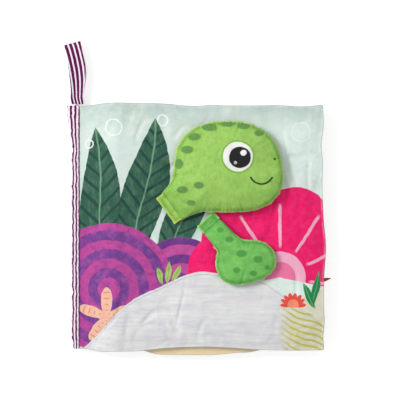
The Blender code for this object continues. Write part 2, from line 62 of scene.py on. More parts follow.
# Sizes that the part's source gives, in metres
COVER_WIDTH = 0.210
COVER_HEIGHT = 0.209
LEAF_THICKNESS = 0.0056
LEAF_GAP = 0.0004
SEAM_THICKNESS = 0.0016
LEAF_PITCH = LEAF_THICKNESS + LEAF_GAP
SPINE_PITCH = SEAM_THICKNESS + LEAF_GAP
FIT_GAP = 0.0003
SIDE_DRAW_IN = 0.0014
PUFF_RUN = 0.030
SPINE_RUN = 0.035
EDGE_DROOP = 0.0012
LOBE_DEPTH = 0.0045
LOBE_WIDTH = 0.100
LOBE_SHOULDER = 0.026
HINGE_X = -COVER_WIDTH / 2
BOTTOM_Y = -COVER_HEIGHT / 2
TOP_Y = COVER_HEIGHT / 2
LEAF_NAMES = ("back_cover", "page_2", "page_1", "front_cover")
PAGE_CORNER = (HINGE_X, BOTTOM_Y, 0.0)
COVER_TOP_Z = len(LEAF_NAMES) * LEAF_PITCH - LEAF_GAP
SEWN_Z = COVER_TOP_Z + LEAF_GAP + SEAM_THICKNESS / 2
MM = 0.001

# Leaves
SEWN_CORNER_RADIUS = 2.8 * MM
EDGE_STEPS = np.array((0.0, 0.12, 0.35, 0.7, 1.1, 1.7, 2.5, 3.5)) * MM
RIM_ROUNDING = 1.1 * MM
SPINE_ROUNDING = 0.6 * MM
SEAM_GROOVE = 0.85 * MM    # how far the seam round a leaf lies in from its rim
SEAM_SHARE = 0.09          # height of the seam as a share of the leaf's height
SEAM_FADE = 4.0 * MM       # length over which the seam runs out at a corner
MOST_SINK = 0.75           # share of a leaf's half thickness that a hollow may take
LEAF_LIFT = 0.5 * MM       # how unevenly the leaves lie on each other
PUCKER_REACH = 11.0 * MM   # how far in from a leaf's rim its puckers run out
PUCKER_START = 2.0 * MM    # where they are full
WAVE_REACH = 40.0 * MM     # how far in from its rim a leaf's waves are felt
SPINE_STILL = 20.0 * MM    # the waves start at the spine and are full from here on
# Swings of the front cover's edges: middle and reach in metres, height in edge waves, power
RIGHT_SWINGS = ((-0.017, 0.024, 2.8), (0.070, 0.010, -2.4), (0.036, 0.020, -0.9),
                (-0.079, 0.008, 0.9), (-0.094, 0.007, -0.9), (0.101, 0.008, -0.9))
TOP_SWINGS = ((-0.054, 0.034, 2.4, 4), (0.086, 0.014, -1.5), (0.009, 0.008, 0.8))
BOTTOM_SWINGS = ((-0.074, 0.032, -2.2, 4), (-0.001, 0.027, 1.6), (0.064, 0.028, -1.0))
PAGE_1_BOTTOM_SWING = (-0.010, 0.034, -2.4, 4)

# Tape and ribbon
TAPE_THICKNESS = 0.6 * MM
TAPE_FOLD_RADIUS = 1.4 * MM
TAPE_COVER = 6.2 * MM      # how far past the hinge line the tape reaches
TAPE_LIFT = 0.35 * MM      # how far it stands off the seam edges
TAPE_STITCHES = 50
RIBBON_THICKNESS = 0.8 * MM
LOOP_REACH = 52.4 * MM
LOOP_BULGE = 4.45 * MM
LOOP_FOOT_WIDTH = 9.8 * MM
LOOP_WIDTH = 13.8 * MM

# Stuffed pieces
PAD_RADIUS = 45.0 * MM     # turns an angle round a stuffed piece into a length
STITCH_PITCH = 3.6 * MM
GATHER_REACH = 8.5 * MM    # how far in from the seam the gathers run out
STITCH_REACH = 4.2 * MM    # how far in the draws of single stitches run out
PANEL_ROOM = 0.85          # share of the height over the seam that a hollow may take
SEWN_EDGE_THICKNESS = 1.2 * MM
CLOTH_FRAMES = 22          # frames for which the cloth swells before it is kept

# Stage
CAMERA_DISTANCE = 1.5
PICTURE_WIDTH = 0.3408     # what the camera sees across, at the cover
SENSOR_WIDTH = 36
FLOOR_GREY = 0.62
FLOOR_GLOW = 0.66
SKY_STRENGTH = 0.53


def screen_colour(red, green, blue):
    """Colour values of 0 to 255 as seen on a screen, made linear."""
    shares = (np.array((red, green, blue)) / 255).tolist()
    return tuple(s / 12.92 if s <= 0.04045 else ((s + 0.055) / 1.055) ** 2.4 for s in shares)


def colour_setting(name, description, red, green, blue):
    return bpy.props.FloatVectorProperty(name=name, description=description, subtype="COLOR",
                                         size=3, min=0, max=1,
                                         default=screen_colour(red, green, blue))


def length_setting(name, description, millimetres):
    return bpy.props.FloatProperty(name=name, description=description, unit="LENGTH",
                                   subtype="DISTANCE", min=0, default=millimetres * MM)


class ClothSettings(bpy.types.PropertyGroup):
    """How the cloth of the book lies and swells."""
    dent_depth: length_setting("Dents", "Deepest hollow in a padded leaf", 2.4)
    fold_depth: length_setting("Folds", "Depth of the folds that run over a leaf", 2.1)
    crumple: length_setting("Crumple", "Height of the fine creases in the cloth", 0.6)
    pucker_depth: length_setting("Puckers", "Depth of the puckers along a sewn edge", 0.8)
    edge_wave: length_setting("Edge wave", "How far a leaf's edge wanders in plan", 0.9)
    weave_pitch: length_setting("Weave", "Distance from thread to thread", 0.5)
    stuffing_pressure: bpy.props.FloatProperty(
        name="Stuffing", description="Pressure that swells the stuffed pieces", default=4.0,
        min=0.0, max=20.0)


class ColourSettings(bpy.types.PropertyGroup):
    """Dyes and inks of the book."""
    mint: colour_setting("Mint", "Ground of the cover print", 213, 229, 225)
    kelp: colour_setting("Kelp green", "Broad leaves of the cover print", 47, 92, 74)
    magenta: colour_setting("Magenta", "Light bands of the ringed domes", 195, 76, 154)
    purple: colour_setting("Purple", "Dark bands of the ringed domes", 106, 59, 140)
    pink: colour_setting("Hot pink", "Scallop fan of the cover print", 252, 14, 110)
    pale_pink: colour_setting("Pale pink", "Ribs of the scallop fan", 250, 180, 206)
    peach: colour_setting("Peach", "Starfish of the cover print", 236, 184, 160)
    bank: colour_setting("Sand bank", "Pale bank of the cover print", 233, 233, 232)
    bubble: colour_setting("Bubbles", "Thin rings of the cover print", 244, 249, 245)
    lime: colour_setting("Lime", "Small sprigs of the cover print", 172, 202, 108)
    coral_red: colour_setting("Coral red", "Small anemone of the cover print", 238, 84, 72)
    olive: colour_setting("Olive", "Ripples of the cover print", 200, 196, 100)
    cream: colour_setting("Cream", "First inner page and the gutters", 226, 206, 168)
    sea_blue: colour_setting("Sea blue", "Second inner page", 150, 196, 206)
    sand: colour_setting("Sand", "Lining of the back cover", 228, 220, 204)
    head_green: colour_setting("Head green", "Cloth of the turtle's head", 157, 207, 97)
    flipper_green: colour_setting("Flipper green", "Cloth of the flipper", 108, 188, 88)
    tab_green: colour_setting("Seam green", "Sewn edge of the neck", 190, 214, 92)
    stripe_dark: colour_setting("Dark stripe", "Dark stripes of the tape", 92, 4, 70)
    stripe_pale: colour_setting("Pale stripe", "Pale ground of the tape", 255, 240, 255)
    orange: colour_setting("Orange", "Small tab on the page", 192, 84, 40)


# Node drawing

class Value:
    """A number that a node gives. Sums of values add Math nodes."""

    def __init__(self, drawing, socket):
        self.drawing = drawing
        self.socket = socket

    def to(self, kind, *others):
        return self.drawing.math(kind, self, *others)

    def __add__(self, other):
        return self.to("ADD", other)

    def __sub__(self, other):
        return self.to("SUBTRACT", other)

    def __mul__(self, other):
        return self.to("MULTIPLY", other)

    def __truediv__(self, other):
        return self.to("DIVIDE", other)

    def __neg__(self):
        return self.to("MULTIPLY", -1.0)


class Drawing:
    """A material whose colour is drawn in layers, with places in millimetres."""

    def __init__(self, name, roughness, sheen=0.0, coordinates="Object", sheen_roughness=0.5):
        self.material = bpy.data.materials.new(name)
        self.material.use_nodes = True
        self.nodes = self.material.node_tree.nodes
        self.links = self.material.node_tree.links
        self.shader = self.nodes["Principled BSDF"]
        self.shader.inputs["Roughness"].default_value = roughness
        self.shader.inputs["Sheen Weight"].default_value = sheen
        self.shader.inputs["Sheen Roughness"].default_value = sheen_roughness
        self.shader.inputs["Specular IOR Level"].default_value = 0.25
        self.source = self.nodes.new("ShaderNodeTexCoord").outputs[coordinates]
        self.colour = None

    def link(self, value, socket):
        if isinstance(value, Value):
            self.links.new(value.socket, socket)
        elif isinstance(value, bpy.types.NodeSocket):
            self.links.new(value, socket)
        else:
            socket.default_value = value

    def math(self, kind, *values, clamp=False):
        node = self.nodes.new("ShaderNodeMath")
        node.operation = kind
        node.use_clamp = clamp
        for value, socket in zip(values, node.inputs):
            self.link(value, socket)
        return Value(self, node.outputs[0])

    def place(self, origin=(0.0, 0.0, 0.0), scale=1000.0):
        """X, Y and Z of the surface's point, from an origin and at a scale."""
        mapping = self.nodes.new("ShaderNodeMapping")
        mapping.vector_type = "TEXTURE"
        mapping.inputs["Location"].default_value = origin
        mapping.inputs["Scale"].default_value = (1 / scale,) * 3
        self.links.new(self.source, mapping.inputs["Vector"])
        parts = self.nodes.new("ShaderNodeSeparateXYZ")
        self.links.new(mapping.outputs[0], parts.inputs[0])
        return [Value(self, socket) for socket in parts.outputs]

    def noise(self, scale, detail=2.0, stretch=(1.0, 1.0, 1.0), roughness=0.5):
        mapping = self.nodes.new("ShaderNodeMapping")
        mapping.inputs["Scale"].default_value = stretch
        self.links.new(self.source, mapping.inputs["Vector"])
        node = self.nodes.new("ShaderNodeTexNoise")
        node.inputs["Scale"].default_value = scale
        node.inputs["Detail"].default_value = detail
        node.inputs["Roughness"].default_value = roughness
        self.links.new(mapping.outputs[0], node.inputs["Vector"])
        return Value(self, node.outputs[0])

    def cover(self, mask, colour):
        """Lays a colour over what is drawn so far, where the mask is 1."""
        node = self.nodes.new("ShaderNodeMix")
        node.data_type = "RGBA"
        self.link(mask, node.inputs["Factor"])
        if self.colour is None:
            node.inputs["A"].default_value = (*colour, 1.0)
        elif isinstance(self.colour, tuple):
            node.inputs["A"].default_value = (*self.colour, 1.0)
        else:
            self.links.new(self.colour, node.inputs["A"])
        if isinstance(colour, bpy.types.NodeSocket):
            self.links.new(colour, node.inputs["B"])
        else:
            node.inputs["B"].default_value = (*colour, 1.0)
        self.colour = node.outputs["Result"]

    def shade(self, amount):
        """Lightens or darkens what is drawn by a value around 1."""
        node = self.nodes.new("ShaderNodeVectorMath")
        node.operation = "SCALE"
        self.links.new(self.colour, node.inputs[0])
        self.link(amount, node.inputs["Scale"])
        self.colour = node.outputs[0]

    def fill(self, distance, soft=0.5):
        """Mask of the inside of a shape, from the distance to its outline."""
        return self.ramp(distance, -1.0 / soft, 0.5)

    def ramp(self, value, slope, start):
        """Mask that climbs with a value and stays within 0 and 1."""
        return self.math("MULTIPLY_ADD", value, slope, start, clamp=True)

    def mottle(self, scale, slope, start):
        """Mask of soft clouds."""
        return self.ramp(self.noise(scale, 4.0), slope, start)

    def spread(self, amount, low, high):
        """Takes 0 to 1 to low to high."""
        return self.math("MULTIPLY_ADD", amount, high - low, low)

    def disc(self, x, y, across, up, radius):
        """Distance to the outline of a disc, below zero inside it."""
        return self.math("SQRT", (x - across).to("POWER", 2.0) + (y - up).to("POWER", 2.0)) - radius

    def ring(self, x, y, across, up, radius, width):
        return self.disc(x, y, across, up, radius).to("ABSOLUTE") - width / 2

    def both(self, one, other):
        """Distance to the outline of what two shapes share."""
        return one.to("MAXIMUM", other)

    def polar(self, x, y, across, up):
        """Distance from a point, and the turn round it from straight up."""
        dx, dy = x - across, y - up
        far = self.math("SQRT", dx * dx + dy * dy)
        return far, self.math("ARCTAN2", dx, dy)

    def blade(self, x, y, across, up, length, width, lean):
        """A leaf with two curved sides: distance to its outline, and to its middle line."""
        cos, sin = math.cos(lean), math.sin(lean)
        dx, dy = x - across, y - up
        side = dx * cos - dy * sin
        along = (dx * sin + dy * cos) / length
        half = self.math("MULTIPLY_ADD", along * along, -1.0, 1.0) * width
        bend = self.math("SINE", along * 2.4) * (width * 0.25)
        side = side - bend
        return side.to("ABSOLUTE") - half, side.to("ABSOLUTE"), along

    def ribbed_blade(self, x, y, blade, colour, half_rib, rib):
        """A small blade of one colour with a rib of another down its middle."""
        outline, middle, _ = self.blade(x, y, *blade)
        self.cover(self.fill(outline), colour)
        self.cover(self.fill(middle - half_rib) * self.fill(outline), rib)

    def rays(self, turn, count):
        """0 to 1 and back, a number of times round a point."""
        return self.math("ABSOLUTE", self.math("SINE", turn * count))

    def spot(self, x, y, across, up, wide, high):
        """Mask of an oval with a soft rim."""
        oval = self.disc((x - across) / wide, (y - up) / high, 0, 0, 1.0) * high
        return self.fill(oval, 0.9)

    def stored(self, name):
        """A value that the piece's mesh holds at each point."""
        node = self.nodes.new("ShaderNodeAttribute")
        node.attribute_name = name
        return Value(self, node.outputs["Fac"])

    def strokes(self, mask, colour, scale, amount, stretch=(1.0, 1.0, 1.0)):
        """Uneven strokes of a second ink, inside a mask or over the whole cloth."""
        laid = self.ramp(self.noise(scale, 5.0, stretch, 0.68), 4.4, -1.9) * amount
        self.cover(laid if mask is None else mask * laid, colour)

    def raised(self, height, distance, strength=1.0, below=None):
        """A bump of a height in metres, on top of another one if there is one."""
        bump = self.nodes.new("ShaderNodeBump")
        bump.inputs["Strength"].default_value = strength
        bump.inputs["Distance"].default_value = distance
        self.link(height, bump.inputs["Height"])
        if below is not None:
            self.links.new(below, bump.inputs["Normal"])
        return bump.outputs[0]

    def ridges(self, scale, stretch, sharpness):
        """Thin crests that wander, as creases in cloth do."""
        far = self.math("ABSOLUTE", self.noise(scale, 2.0, stretch) - 0.5) * 2.0
        return self.math("MAXIMUM", self.math("MULTIPLY_ADD", far, -1.0, 1.0), 0.0).to(
            "POWER", sharpness)

    def weave(self, pitch, strength, crumple=0.0):
        """Raised threads, one way and the other, on cloth that is softly crumpled."""
        soft = None
        if crumple:
            upright = self.ridges(16.0, (1.5, 0.75, 1.0), 9.0)
            slanting = self.ridges(27.0, (0.8, 1.25, 1.0), 7.0)
            swells = self.noise(46.0, 3.0)
            height = upright * 0.55 + slanting * 0.35 + swells * 0.8
            soft = self.raised(height, crumple)
        x, y, z = self.place(scale=math.tau / pitch)
        threads = self.math("SINE", x + z) * self.math("SINE", y + z)
        height = self.math("MULTIPLY_ADD", self.noise(900.0, 3.0), 0.4, threads * 0.5)
        self.links.new(self.raised(height, pitch * 0.35, strength, soft),
                       self.shader.inputs["Normal"])

    def finish(self):
        """Joins what is drawn to the shader and gives the material."""
        self.links.new(self.colour, self.shader.inputs["Base Color"])
        return self.material


def washed(drawing, amount=0.10, scale=60.0):
    """Uneven ink, as printed or dyed cotton has."""
    blotch = drawing.noise(scale, 4.0, roughness=0.62)
    drawing.shade(drawing.spread(blotch, 1.0 - amount, 1.0 + amount))
    grain = drawing.noise(1400.0, 2.0)
    drawing.shade(drawing.spread(grain, 1.0 - amount * 0.6, 1.0 + amount * 0.6))


def wandering(drawing, x, y, amount):
    """Outlines that wander a little, as if painted by hand."""
    shift = drawing.noise(110.0, 3.0) - 0.5
    other = drawing.noise(95.0, 3.0, stretch=(1.0, 1.0, 1.7)) - 0.5
    return x + shift * amount, y + other * amount


def cover_print(name, cloth, inks):
    """Sea garden: kelp blades, ringed domes, a scallop fan, a starfish and a pale sand bank."""
    d = Drawing(name, 0.82, 0.12)
    x, y, _ = d.place(PAGE_CORNER)
    draw_water(d, x, y, inks)
    x, y = wandering(d, x, y, 2.6)
    for draw in (draw_kelp, draw_bubbles, draw_domes, draw_fan, draw_starfish, draw_banks,
                 draw_plants):
        draw(d, x, y, inks)
    # The grey is painted shade along the rim.
    turned_rim(d, screen_colour(238, 244, 240), screen_colour(138, 152, 146))
    washed(d, 0.09, 120.0)
    d.weave(cloth.weave_pitch, 0.35, cloth.crumple)
    return d.finish()


def draw_water(d, x, y, inks):
    """Mint ground, clouded and lighter to the right, with a painted highlight in a broad band and
    painted shade along the top.
    """
    d.colour = tuple(inks.mint)
    d.cover(d.mottle(22.0, 2.2, -0.75), screen_colour(220, 232, 222))
    d.cover(d.ramp(x, 0.014, -1.72) * 0.95, screen_colour(238, 255, 248))
    # Painted shade: the mint turns greyer towards the top edge, where the padded leaf rounds down
    # away from the light.
    d.cover(d.ramp(y, 0.05, -9.3) * 0.9, screen_colour(181, 201, 193))
    glint = d.disc(x * 0.55 + y * 0.45, y * 0.25, 158.0, 38.0, 14.0)
    d.cover(d.fill(glint, 18.0) * 0.55, screen_colour(230, 234, 234))
    d.strokes(None, screen_colour(232, 240, 226), 70.0, 0.55, (1.0, 1.5, 1.0))
    d.strokes(None, screen_colour(190, 215, 211), 120.0, 0.45)


def draw_kelp(d, x, y, inks):
    """Three broad blades with dark veins and a pale rib."""
    kelp = tuple(inks.kelp)
    dark_kelp = screen_colour(34, 72, 64)
    rib = screen_colour(112, 156, 126)
    for across, up, length, width, lean in ((92, 118, 66, 15, 0.30), (18, 118, 72, 18, -0.10),
                                            (56, 132, 66, 19, 0.10)):
        outline, middle, along = d.blade(x, y, across, up, length, width, lean)
        inside = d.fill(outline)
        d.cover(inside, kelp)
        d.strokes(inside, screen_colour(40, 88, 70), 95.0, 0.75, (2.2, 0.5, 1.0))
        d.strokes(inside, screen_colour(98, 140, 112), 160.0, 0.45, (1.6, 0.6, 1.0))
        veins = d.math("SINE", along * 34.0 - middle * 0.45)
        d.cover(inside * d.ramp(veins, 3.0, -1.6), dark_kelp)
        d.cover(inside * d.fill(middle - 0.7), rib)


def draw_bubbles(d, x, y, inks):
    """Thin rings up in the water."""
    for across, up, radius in ((30, 190, 7.0), (72, 196, 4.4), (190, 186, 8.0), (201, 170, 4.6),
                               (9, 176, 3.6), (196, 157, 2.6)):
        d.cover(d.fill(d.ring(x, y, across, up, radius, 0.95)), tuple(inks.bubble))


def draw_domes(d, x, y, inks):
    """Two round domes with bands of the other ink."""
    magenta = tuple(inks.magenta)
    purple = tuple(inks.purple)
    for across, up, radius, first, second in ((88, 56, 40, magenta, purple),
                                              (26, 52, 56, purple, magenta)):
        dome = d.disc(x, y, across, up, radius)
        inside = d.fill(dome)
        d.cover(inside, first)
        d.strokes(inside, screen_colour(204, 104, 184), 150.0, 0.4)
        bands = d.math("SINE", dome * (math.tau / 16.0) + 2.4)
        banded = inside * d.ramp(bands, 9.0, 0.0)
        d.cover(banded, second)
        d.strokes(banded, screen_colour(92, 46, 136), 140.0, 0.5)
        d.strokes(inside, screen_colour(170, 64, 148), 70.0, 0.3, (1.5, 0.7, 1.0))


def draw_fan(d, x, y, inks):
    """A scallop fan with tapering ribs and a half round foot."""
    far, turn = d.polar(x, y, 172, 62)
    lobes = d.rays(turn, 5.5)
    fan = d.both(far - lobes * 5.0 - 74.0, turn.to("ABSOLUTE") * 40.0 - 40.0 * 1.78)
    inside = d.fill(fan)
    d.cover(inside, tuple(inks.pink))
    d.strokes(inside, screen_colour(226, 14, 94), 120.0, 0.6)
    d.strokes(inside, screen_colour(254, 74, 138), 190.0, 0.3)
    taper = d.math("MULTIPLY_ADD", far, -0.0032, 0.30)
    line = d.ramp(lobes - taper, -14.0, 0.5)
    short = d.fill(far - 62.0, 3.0) * d.fill(-far + 26.0, 3.0)
    d.cover(inside * line * short, tuple(inks.pale_pink))
    d.cover(inside * d.fill(far - 22.0), tuple(inks.pale_pink))
    d.cover(inside * d.fill(far - 13.0), screen_colour(244, 122, 168))


def draw_starfish(d, x, y, inks):
    """Five dotted arms."""
    far, turn = d.polar(x, y, 24, 28)
    arms = d.math("COSINE", turn * 5.0)
    star = far - d.math("MULTIPLY_ADD", arms, 9.5, 15.5)
    inside = d.fill(star)
    d.cover(inside, tuple(inks.peach))
    d.strokes(inside, screen_colour(248, 204, 178), 200.0, 0.6, (1.8, 0.6, 1.0))
    dots = d.math("SINE", far * 1.3) * d.math("COSINE", turn * 5.0)
    d.cover(inside * d.ramp(dots, 8.0, -5.4), screen_colour(226, 140, 108))


def draw_banks(d, x, y, inks):
    """A far bank in the corner, and the near pale one with ripples at its foot."""
    far_bank = y + (x - 232.0) * (x - 232.0) * 0.0042 - 53.0 + d.math("SINE", x * 0.17) * 1.2
    inside = d.fill(far_bank)
    d.cover(inside, screen_colour(238, 232, 210))
    d.strokes(inside, screen_colour(226, 220, 184), 110.0, 0.7, (0.25, 1.0, 1.0))
    d.strokes(inside, screen_colour(214, 226, 204), 60.0, 0.45, (0.5, 1.0, 1.0))
    hump = (x - 116.0) * (x - 116.0) * 0.0052
    bank = y + hump - 66.0 + d.math("SINE", x * 0.11) * 1.6
    inside = d.fill(bank)
    d.cover(inside, tuple(inks.bank))
    d.strokes(inside, screen_colour(238, 238, 234), 240.0, 0.8, (0.12, 1.0, 1.0))
    d.strokes(inside, screen_colour(210, 214, 219), 330.0, 0.75, (0.10, 1.0, 1.0))
    d.strokes(inside, screen_colour(216, 206, 222), 90.0, 0.35, (0.4, 1.0, 1.0))
    d.cover(inside * d.fill((bank + 2.2).to("ABSOLUTE") - 0.35), screen_colour(196, 199, 206))
    ripples = d.math("SINE", (y + hump * 0.6 - d.math("SINE", x * 0.16) * 2.0) * 1.15)
    low = inside * d.ramp(x, 0.08, -13.6) * d.fill(y - 36.0, 4.0)
    d.cover(low * 0.35, screen_colour(226, 222, 168))
    d.strokes(low, screen_colour(208, 204, 130), 110.0, 0.7, (0.35, 1.0, 1.0))
    d.cover(low * d.ramp(ripples, 5.0, -1.6), tuple(inks.olive))


def draw_plants(d, x, y, inks):
    """Three lime sprigs, two blades of grass and a red anemone."""
    for sprig in ((70, 63, 8.0, 2.5, -0.35), (77, 66, 10.0, 2.5, 0.0), (84, 65, 8.0, 2.5, 0.35)):
        d.ribbed_blade(x, y, sprig, tuple(inks.lime), 0.3, screen_colour(132, 168, 76))
    green = screen_colour(34, 140, 84)
    for grass in ((203, 52, 15.0, 3.2, 0.12), (197, 46, 12.0, 3.2, -0.5)):
        d.ribbed_blade(x, y, grass, green, 0.3, screen_colour(120, 192, 112))
    far, turn = d.polar(x, y, 183, 38)
    anemone = d.both(far - d.rays(turn, 7.0) * 3.2 - 8.0, -y + 36.0)
    d.cover(d.fill(anemone), tuple(inks.coral_red))
    d.cover(d.fill(d.both(far - 5.0, -y + 36.0)), screen_colour(250, 146, 110))


def turned_rim(d, pale, dark_ink_and_painted_shade):
    """A patchy pale line beside the rim of a leaf, and painted shade on the seam at the rim itself.
    """
    inward = d.stored("from_rim")
    patchy = d.ramp(d.noise(120.0, 3.0), 2.2, -0.5)
    d.cover(d.fill((inward - 1.4).to("ABSOLUTE") - 0.3, 0.7) * patchy * 0.45, pale)
    # Painted shade: a dark line on the outermost half millimetre, where the turned edge rolls away
    # from the light.
    d.cover(d.fill(inward - 0.5, 0.6) * 0.6, dark_ink_and_painted_shade)


def page_print(name, cloth, ground, motif, inks):
    """A quiet inner page: a mottled ground with a few simple forms of one motif."""
    d = Drawing(name, 0.84, 0.12)
    x, y, _ = d.place(PAGE_CORNER)
    d.colour = tuple(ground)
    lighter = tuple(min(1.0, part * 1.14 + 0.02) for part in ground)
    darker = tuple(part * 0.72 for part in ground)
    d.cover(d.mottle(26.0, 2.0, -0.7), lighter)
    d.strokes(None, lighter, 150.0, 0.5, (0.6, 1.4, 1.0))
    d.strokes(None, darker, 60.0, 0.16)
    x, y = wandering(d, x, y, 2.4)
    if motif == "waves":
        swell = y - d.math("SINE", x * 0.12) * 5.0
        d.cover(d.ramp(d.math("SINE", swell * 0.26), 6.0, -4.0), darker)
        for across, up, radius in ((60, 150, 13.0), (150, 172, 9.0), (176, 132, 6.0)):
            d.cover(d.fill(d.ring(x, y, across, up, radius, 1.6)), screen_colour(236, 244, 244))
        d.cover(d.fill(y - 46.0 - d.math("SINE", x * 0.05) * 12.0), tuple(inks.sand))
        for across, lean in ((48, -0.2), (66, 0.1), (150, 0.25)):
            d.ribbed_blade(x, y, (across, 78, 44, 8, lean), tuple(inks.kelp), 0.5,
                           tuple(inks.lime))
    elif motif == "shells":
        d.cover(d.fill(y - 84.0 - d.math("SINE", x * 0.035 + 0.6) * 18.0), lighter)
        for across, up, colour in ((60, 120, tuple(inks.pink)), (150, 96, tuple(inks.purple))):
            far, turn = d.polar(x, y, across, up)
            lobes = d.rays(turn, 4.5)
            fan = d.both(far - lobes * 3.0 - 32.0, turn.to("ABSOLUTE") * 18.0 - 18.0 * 1.2)
            d.cover(d.fill(fan), colour)
            line = d.ramp(lobes, -9.0, 1.4)
            d.cover(d.fill(fan) * line, tuple(inks.pale_pink))
        far, turn = d.polar(x, y, 104, 44)
        star = far - d.math("MULTIPLY_ADD", d.math("COSINE", turn * 5.0), 8.0, 14.0)
        d.cover(d.fill(star), tuple(inks.coral_red))
    elif motif == "bubbles":
        for across, up, radius in ((44, 160, 17.0), (92, 128, 9.0), (132, 168, 12.0),
                                   (168, 120, 20.0), (70, 70, 24.0), (140, 56, 10.0)):
            d.cover(d.fill(d.disc(x, y, across, up, radius)), lighter)
            d.cover(d.fill(d.ring(x, y, across, up, radius, 1.5)), darker)
    else:
        d.cover(d.fill(y - 30.0 - d.math("SINE", x * 0.06) * 7.0), tuple(inks.bank))
        for across, lean in ((40, 0.2), (58, -0.1), (168, 0.1), (182, -0.2)):
            outline, _, _ = d.blade(x, y, across, 62, 42, 7, lean)
            d.cover(d.fill(outline), tuple(inks.kelp))
        for across, up, radius in ((112, 140, 8.0), (124, 160, 5.0), (108, 172, 3.4)):
            d.cover(d.fill(d.ring(x, y, across, up, radius, 1.3)), tuple(inks.kelp))
    # The darker ground is painted shade along the rim.
    turned_rim(d, lighter, tuple(part * 0.6 for part in ground))
    washed(d, 0.07, 110.0)
    d.weave(cloth.weave_pitch, 0.35, cloth.crumple)
    return d.finish()


def plain_cloth(name, cloth, colour, amount=0.08, coordinates="Object"):
    """Cloth or thread of one dye, a little uneven."""
    d = Drawing(name, 0.86, 0.15, coordinates)
    d.colour = tuple(colour)
    d.cover(d.mottle(180.0, 2.0, -0.7), tuple(part * 0.88 for part in colour))
    washed(d, amount, 90.0)
    d.weave(cloth.weave_pitch, 0.35)
    return d.finish()


def striped_tape(name, inks, stripes, width, length, wander=0.02, lean=0.0):
    """Woven tape with stripes along it, from its own UV map: U across and V along."""
    d = Drawing(name, 0.75, 0.04, "UV")
    x, y, _ = d.place(scale=1.0)
    d.colour = tuple(inks.stripe_pale)
    d.cover(d.ramp(d.noise(14.0, 3.0, stretch=(1.0, 3.0, 1.0)), 2.0, -0.8) * 0.5,
            screen_colour(226, 176, 222))
    drift = d.noise(5.0, 3.0, stretch=(0.6, length / 0.03, 1.0)) - 0.5
    across = x + drift * wander + (y - 0.5).to("ABSOLUTE") * lean
    for middle, half in stripes:
        d.cover(d.fill((across - middle).to("ABSOLUTE") - half, 0.012), tuple(inks.stripe_dark))
    threads = d.math("SINE", y * (length / 0.0007 * math.tau))
    d.shade(d.math("MULTIPLY_ADD", threads, 0.04, 1.02))
    cross = d.math("SINE", x * (width / 0.0006 * math.tau))
    d.links.new(d.raised(threads * cross, 0.00012, 0.4), d.shader.inputs["Normal"])
    return d.finish()


def head_print(name, cloth, inks):
    """Green cloth with soft spots, a plain round eye and a short mouth line, with painted shade
    towards the rim and under the chin.
    """
    d = Drawing(name, 0.8, 0.18)
    x, y, _ = d.place((HEAD.centre.x, HEAD.centre.y, 0.0))
    green = tuple(inks.head_green)
    d.colour = green
    d.cover(d.mottle(48.0, 2.4, -0.9), screen_colour(168, 212, 104))
    # Painted shade: the green darkens towards the rim of the head, where it turns away from the
    # light.
    far, _ = d.polar(x, y, 0, 0)
    d.cover(d.ramp(far, 0.05, -1.6) * 0.5, screen_colour(128, 190, 76))
    # Painted shade: darker green under the chin.
    chin_painted_shade = d.ramp(y, -0.045, -0.85) * 0.6
    d.cover(chin_painted_shade, screen_colour(118, 166, 66))
    d.strokes(None, screen_colour(180, 220, 118), 120.0, 0.55, (1.0, 1.3, 1.0))
    d.strokes(None, screen_colour(122, 180, 72), 260.0, 0.45, (1.4, 0.8, 1.0))
    x, y = wandering(d, x, y, 1.6)
    dark_green = screen_colour(94, 146, 74)
    for across, up, wide, high in ((-34, 14, 5.0, 3.4), (-28, 25, 5.6, 3.2), (-15, 33, 6.6, 3.2),
                                   (0, 36, 6.0, 2.6), (14, 34, 5.2, 2.8), (-41, 2, 3.6, 4.2),
                                   (-24, -16, 4.2, 2.8), (-38, -20, 4.8, 3.0), (-31, -31, 3.6, 2.4),
                                   (27, 28, 4.0, 2.4)):
        inside = d.spot(x, y, across, up, wide, high)
        d.cover(inside * 0.85, dark_green)
        d.strokes(inside, screen_colour(84, 136, 66), 300.0, 0.6)
    eye = (9.0, 8.0)
    d.cover(d.fill(d.disc(x, y, *eye, 14.0)), screen_colour(128, 184, 74))
    d.cover(d.fill(d.disc(x, y, *eye, 12.6)), screen_colour(246, 246, 240))
    d.cover(d.fill(d.disc(x, y, eye[0] + 1.6, eye[1] - 0.6, 9.2)), screen_colour(30, 30, 34))
    d.cover(d.fill(d.disc(x, y, eye[0] + 4.6, eye[1] + 3.4, 2.6)), screen_colour(250, 250, 248))
    d.cover(d.fill(d.disc(x, y, eye[0] - 2.2, eye[1] - 5.0, 1.3)), screen_colour(200, 206, 210))
    dark = screen_colour(36, 66, 40)
    d.cover(d.fill(d.both(d.ring(x, y, 29, -5, 10.0, 1.5), y + 9.0)), dark)
    d.cover(d.fill(d.disc(x, y, 40.0, 6.0, 1.0)), dark)
    # The second colour is painted shade in the gathers beside the seam.
    sewn_rim(d, screen_colour(196, 224, 122), screen_colour(96, 150, 54))
    washed(d, 0.08, 140.0)
    d.weave(cloth.weave_pitch, 0.4, cloth.crumple * 0.4)
    return d.finish()


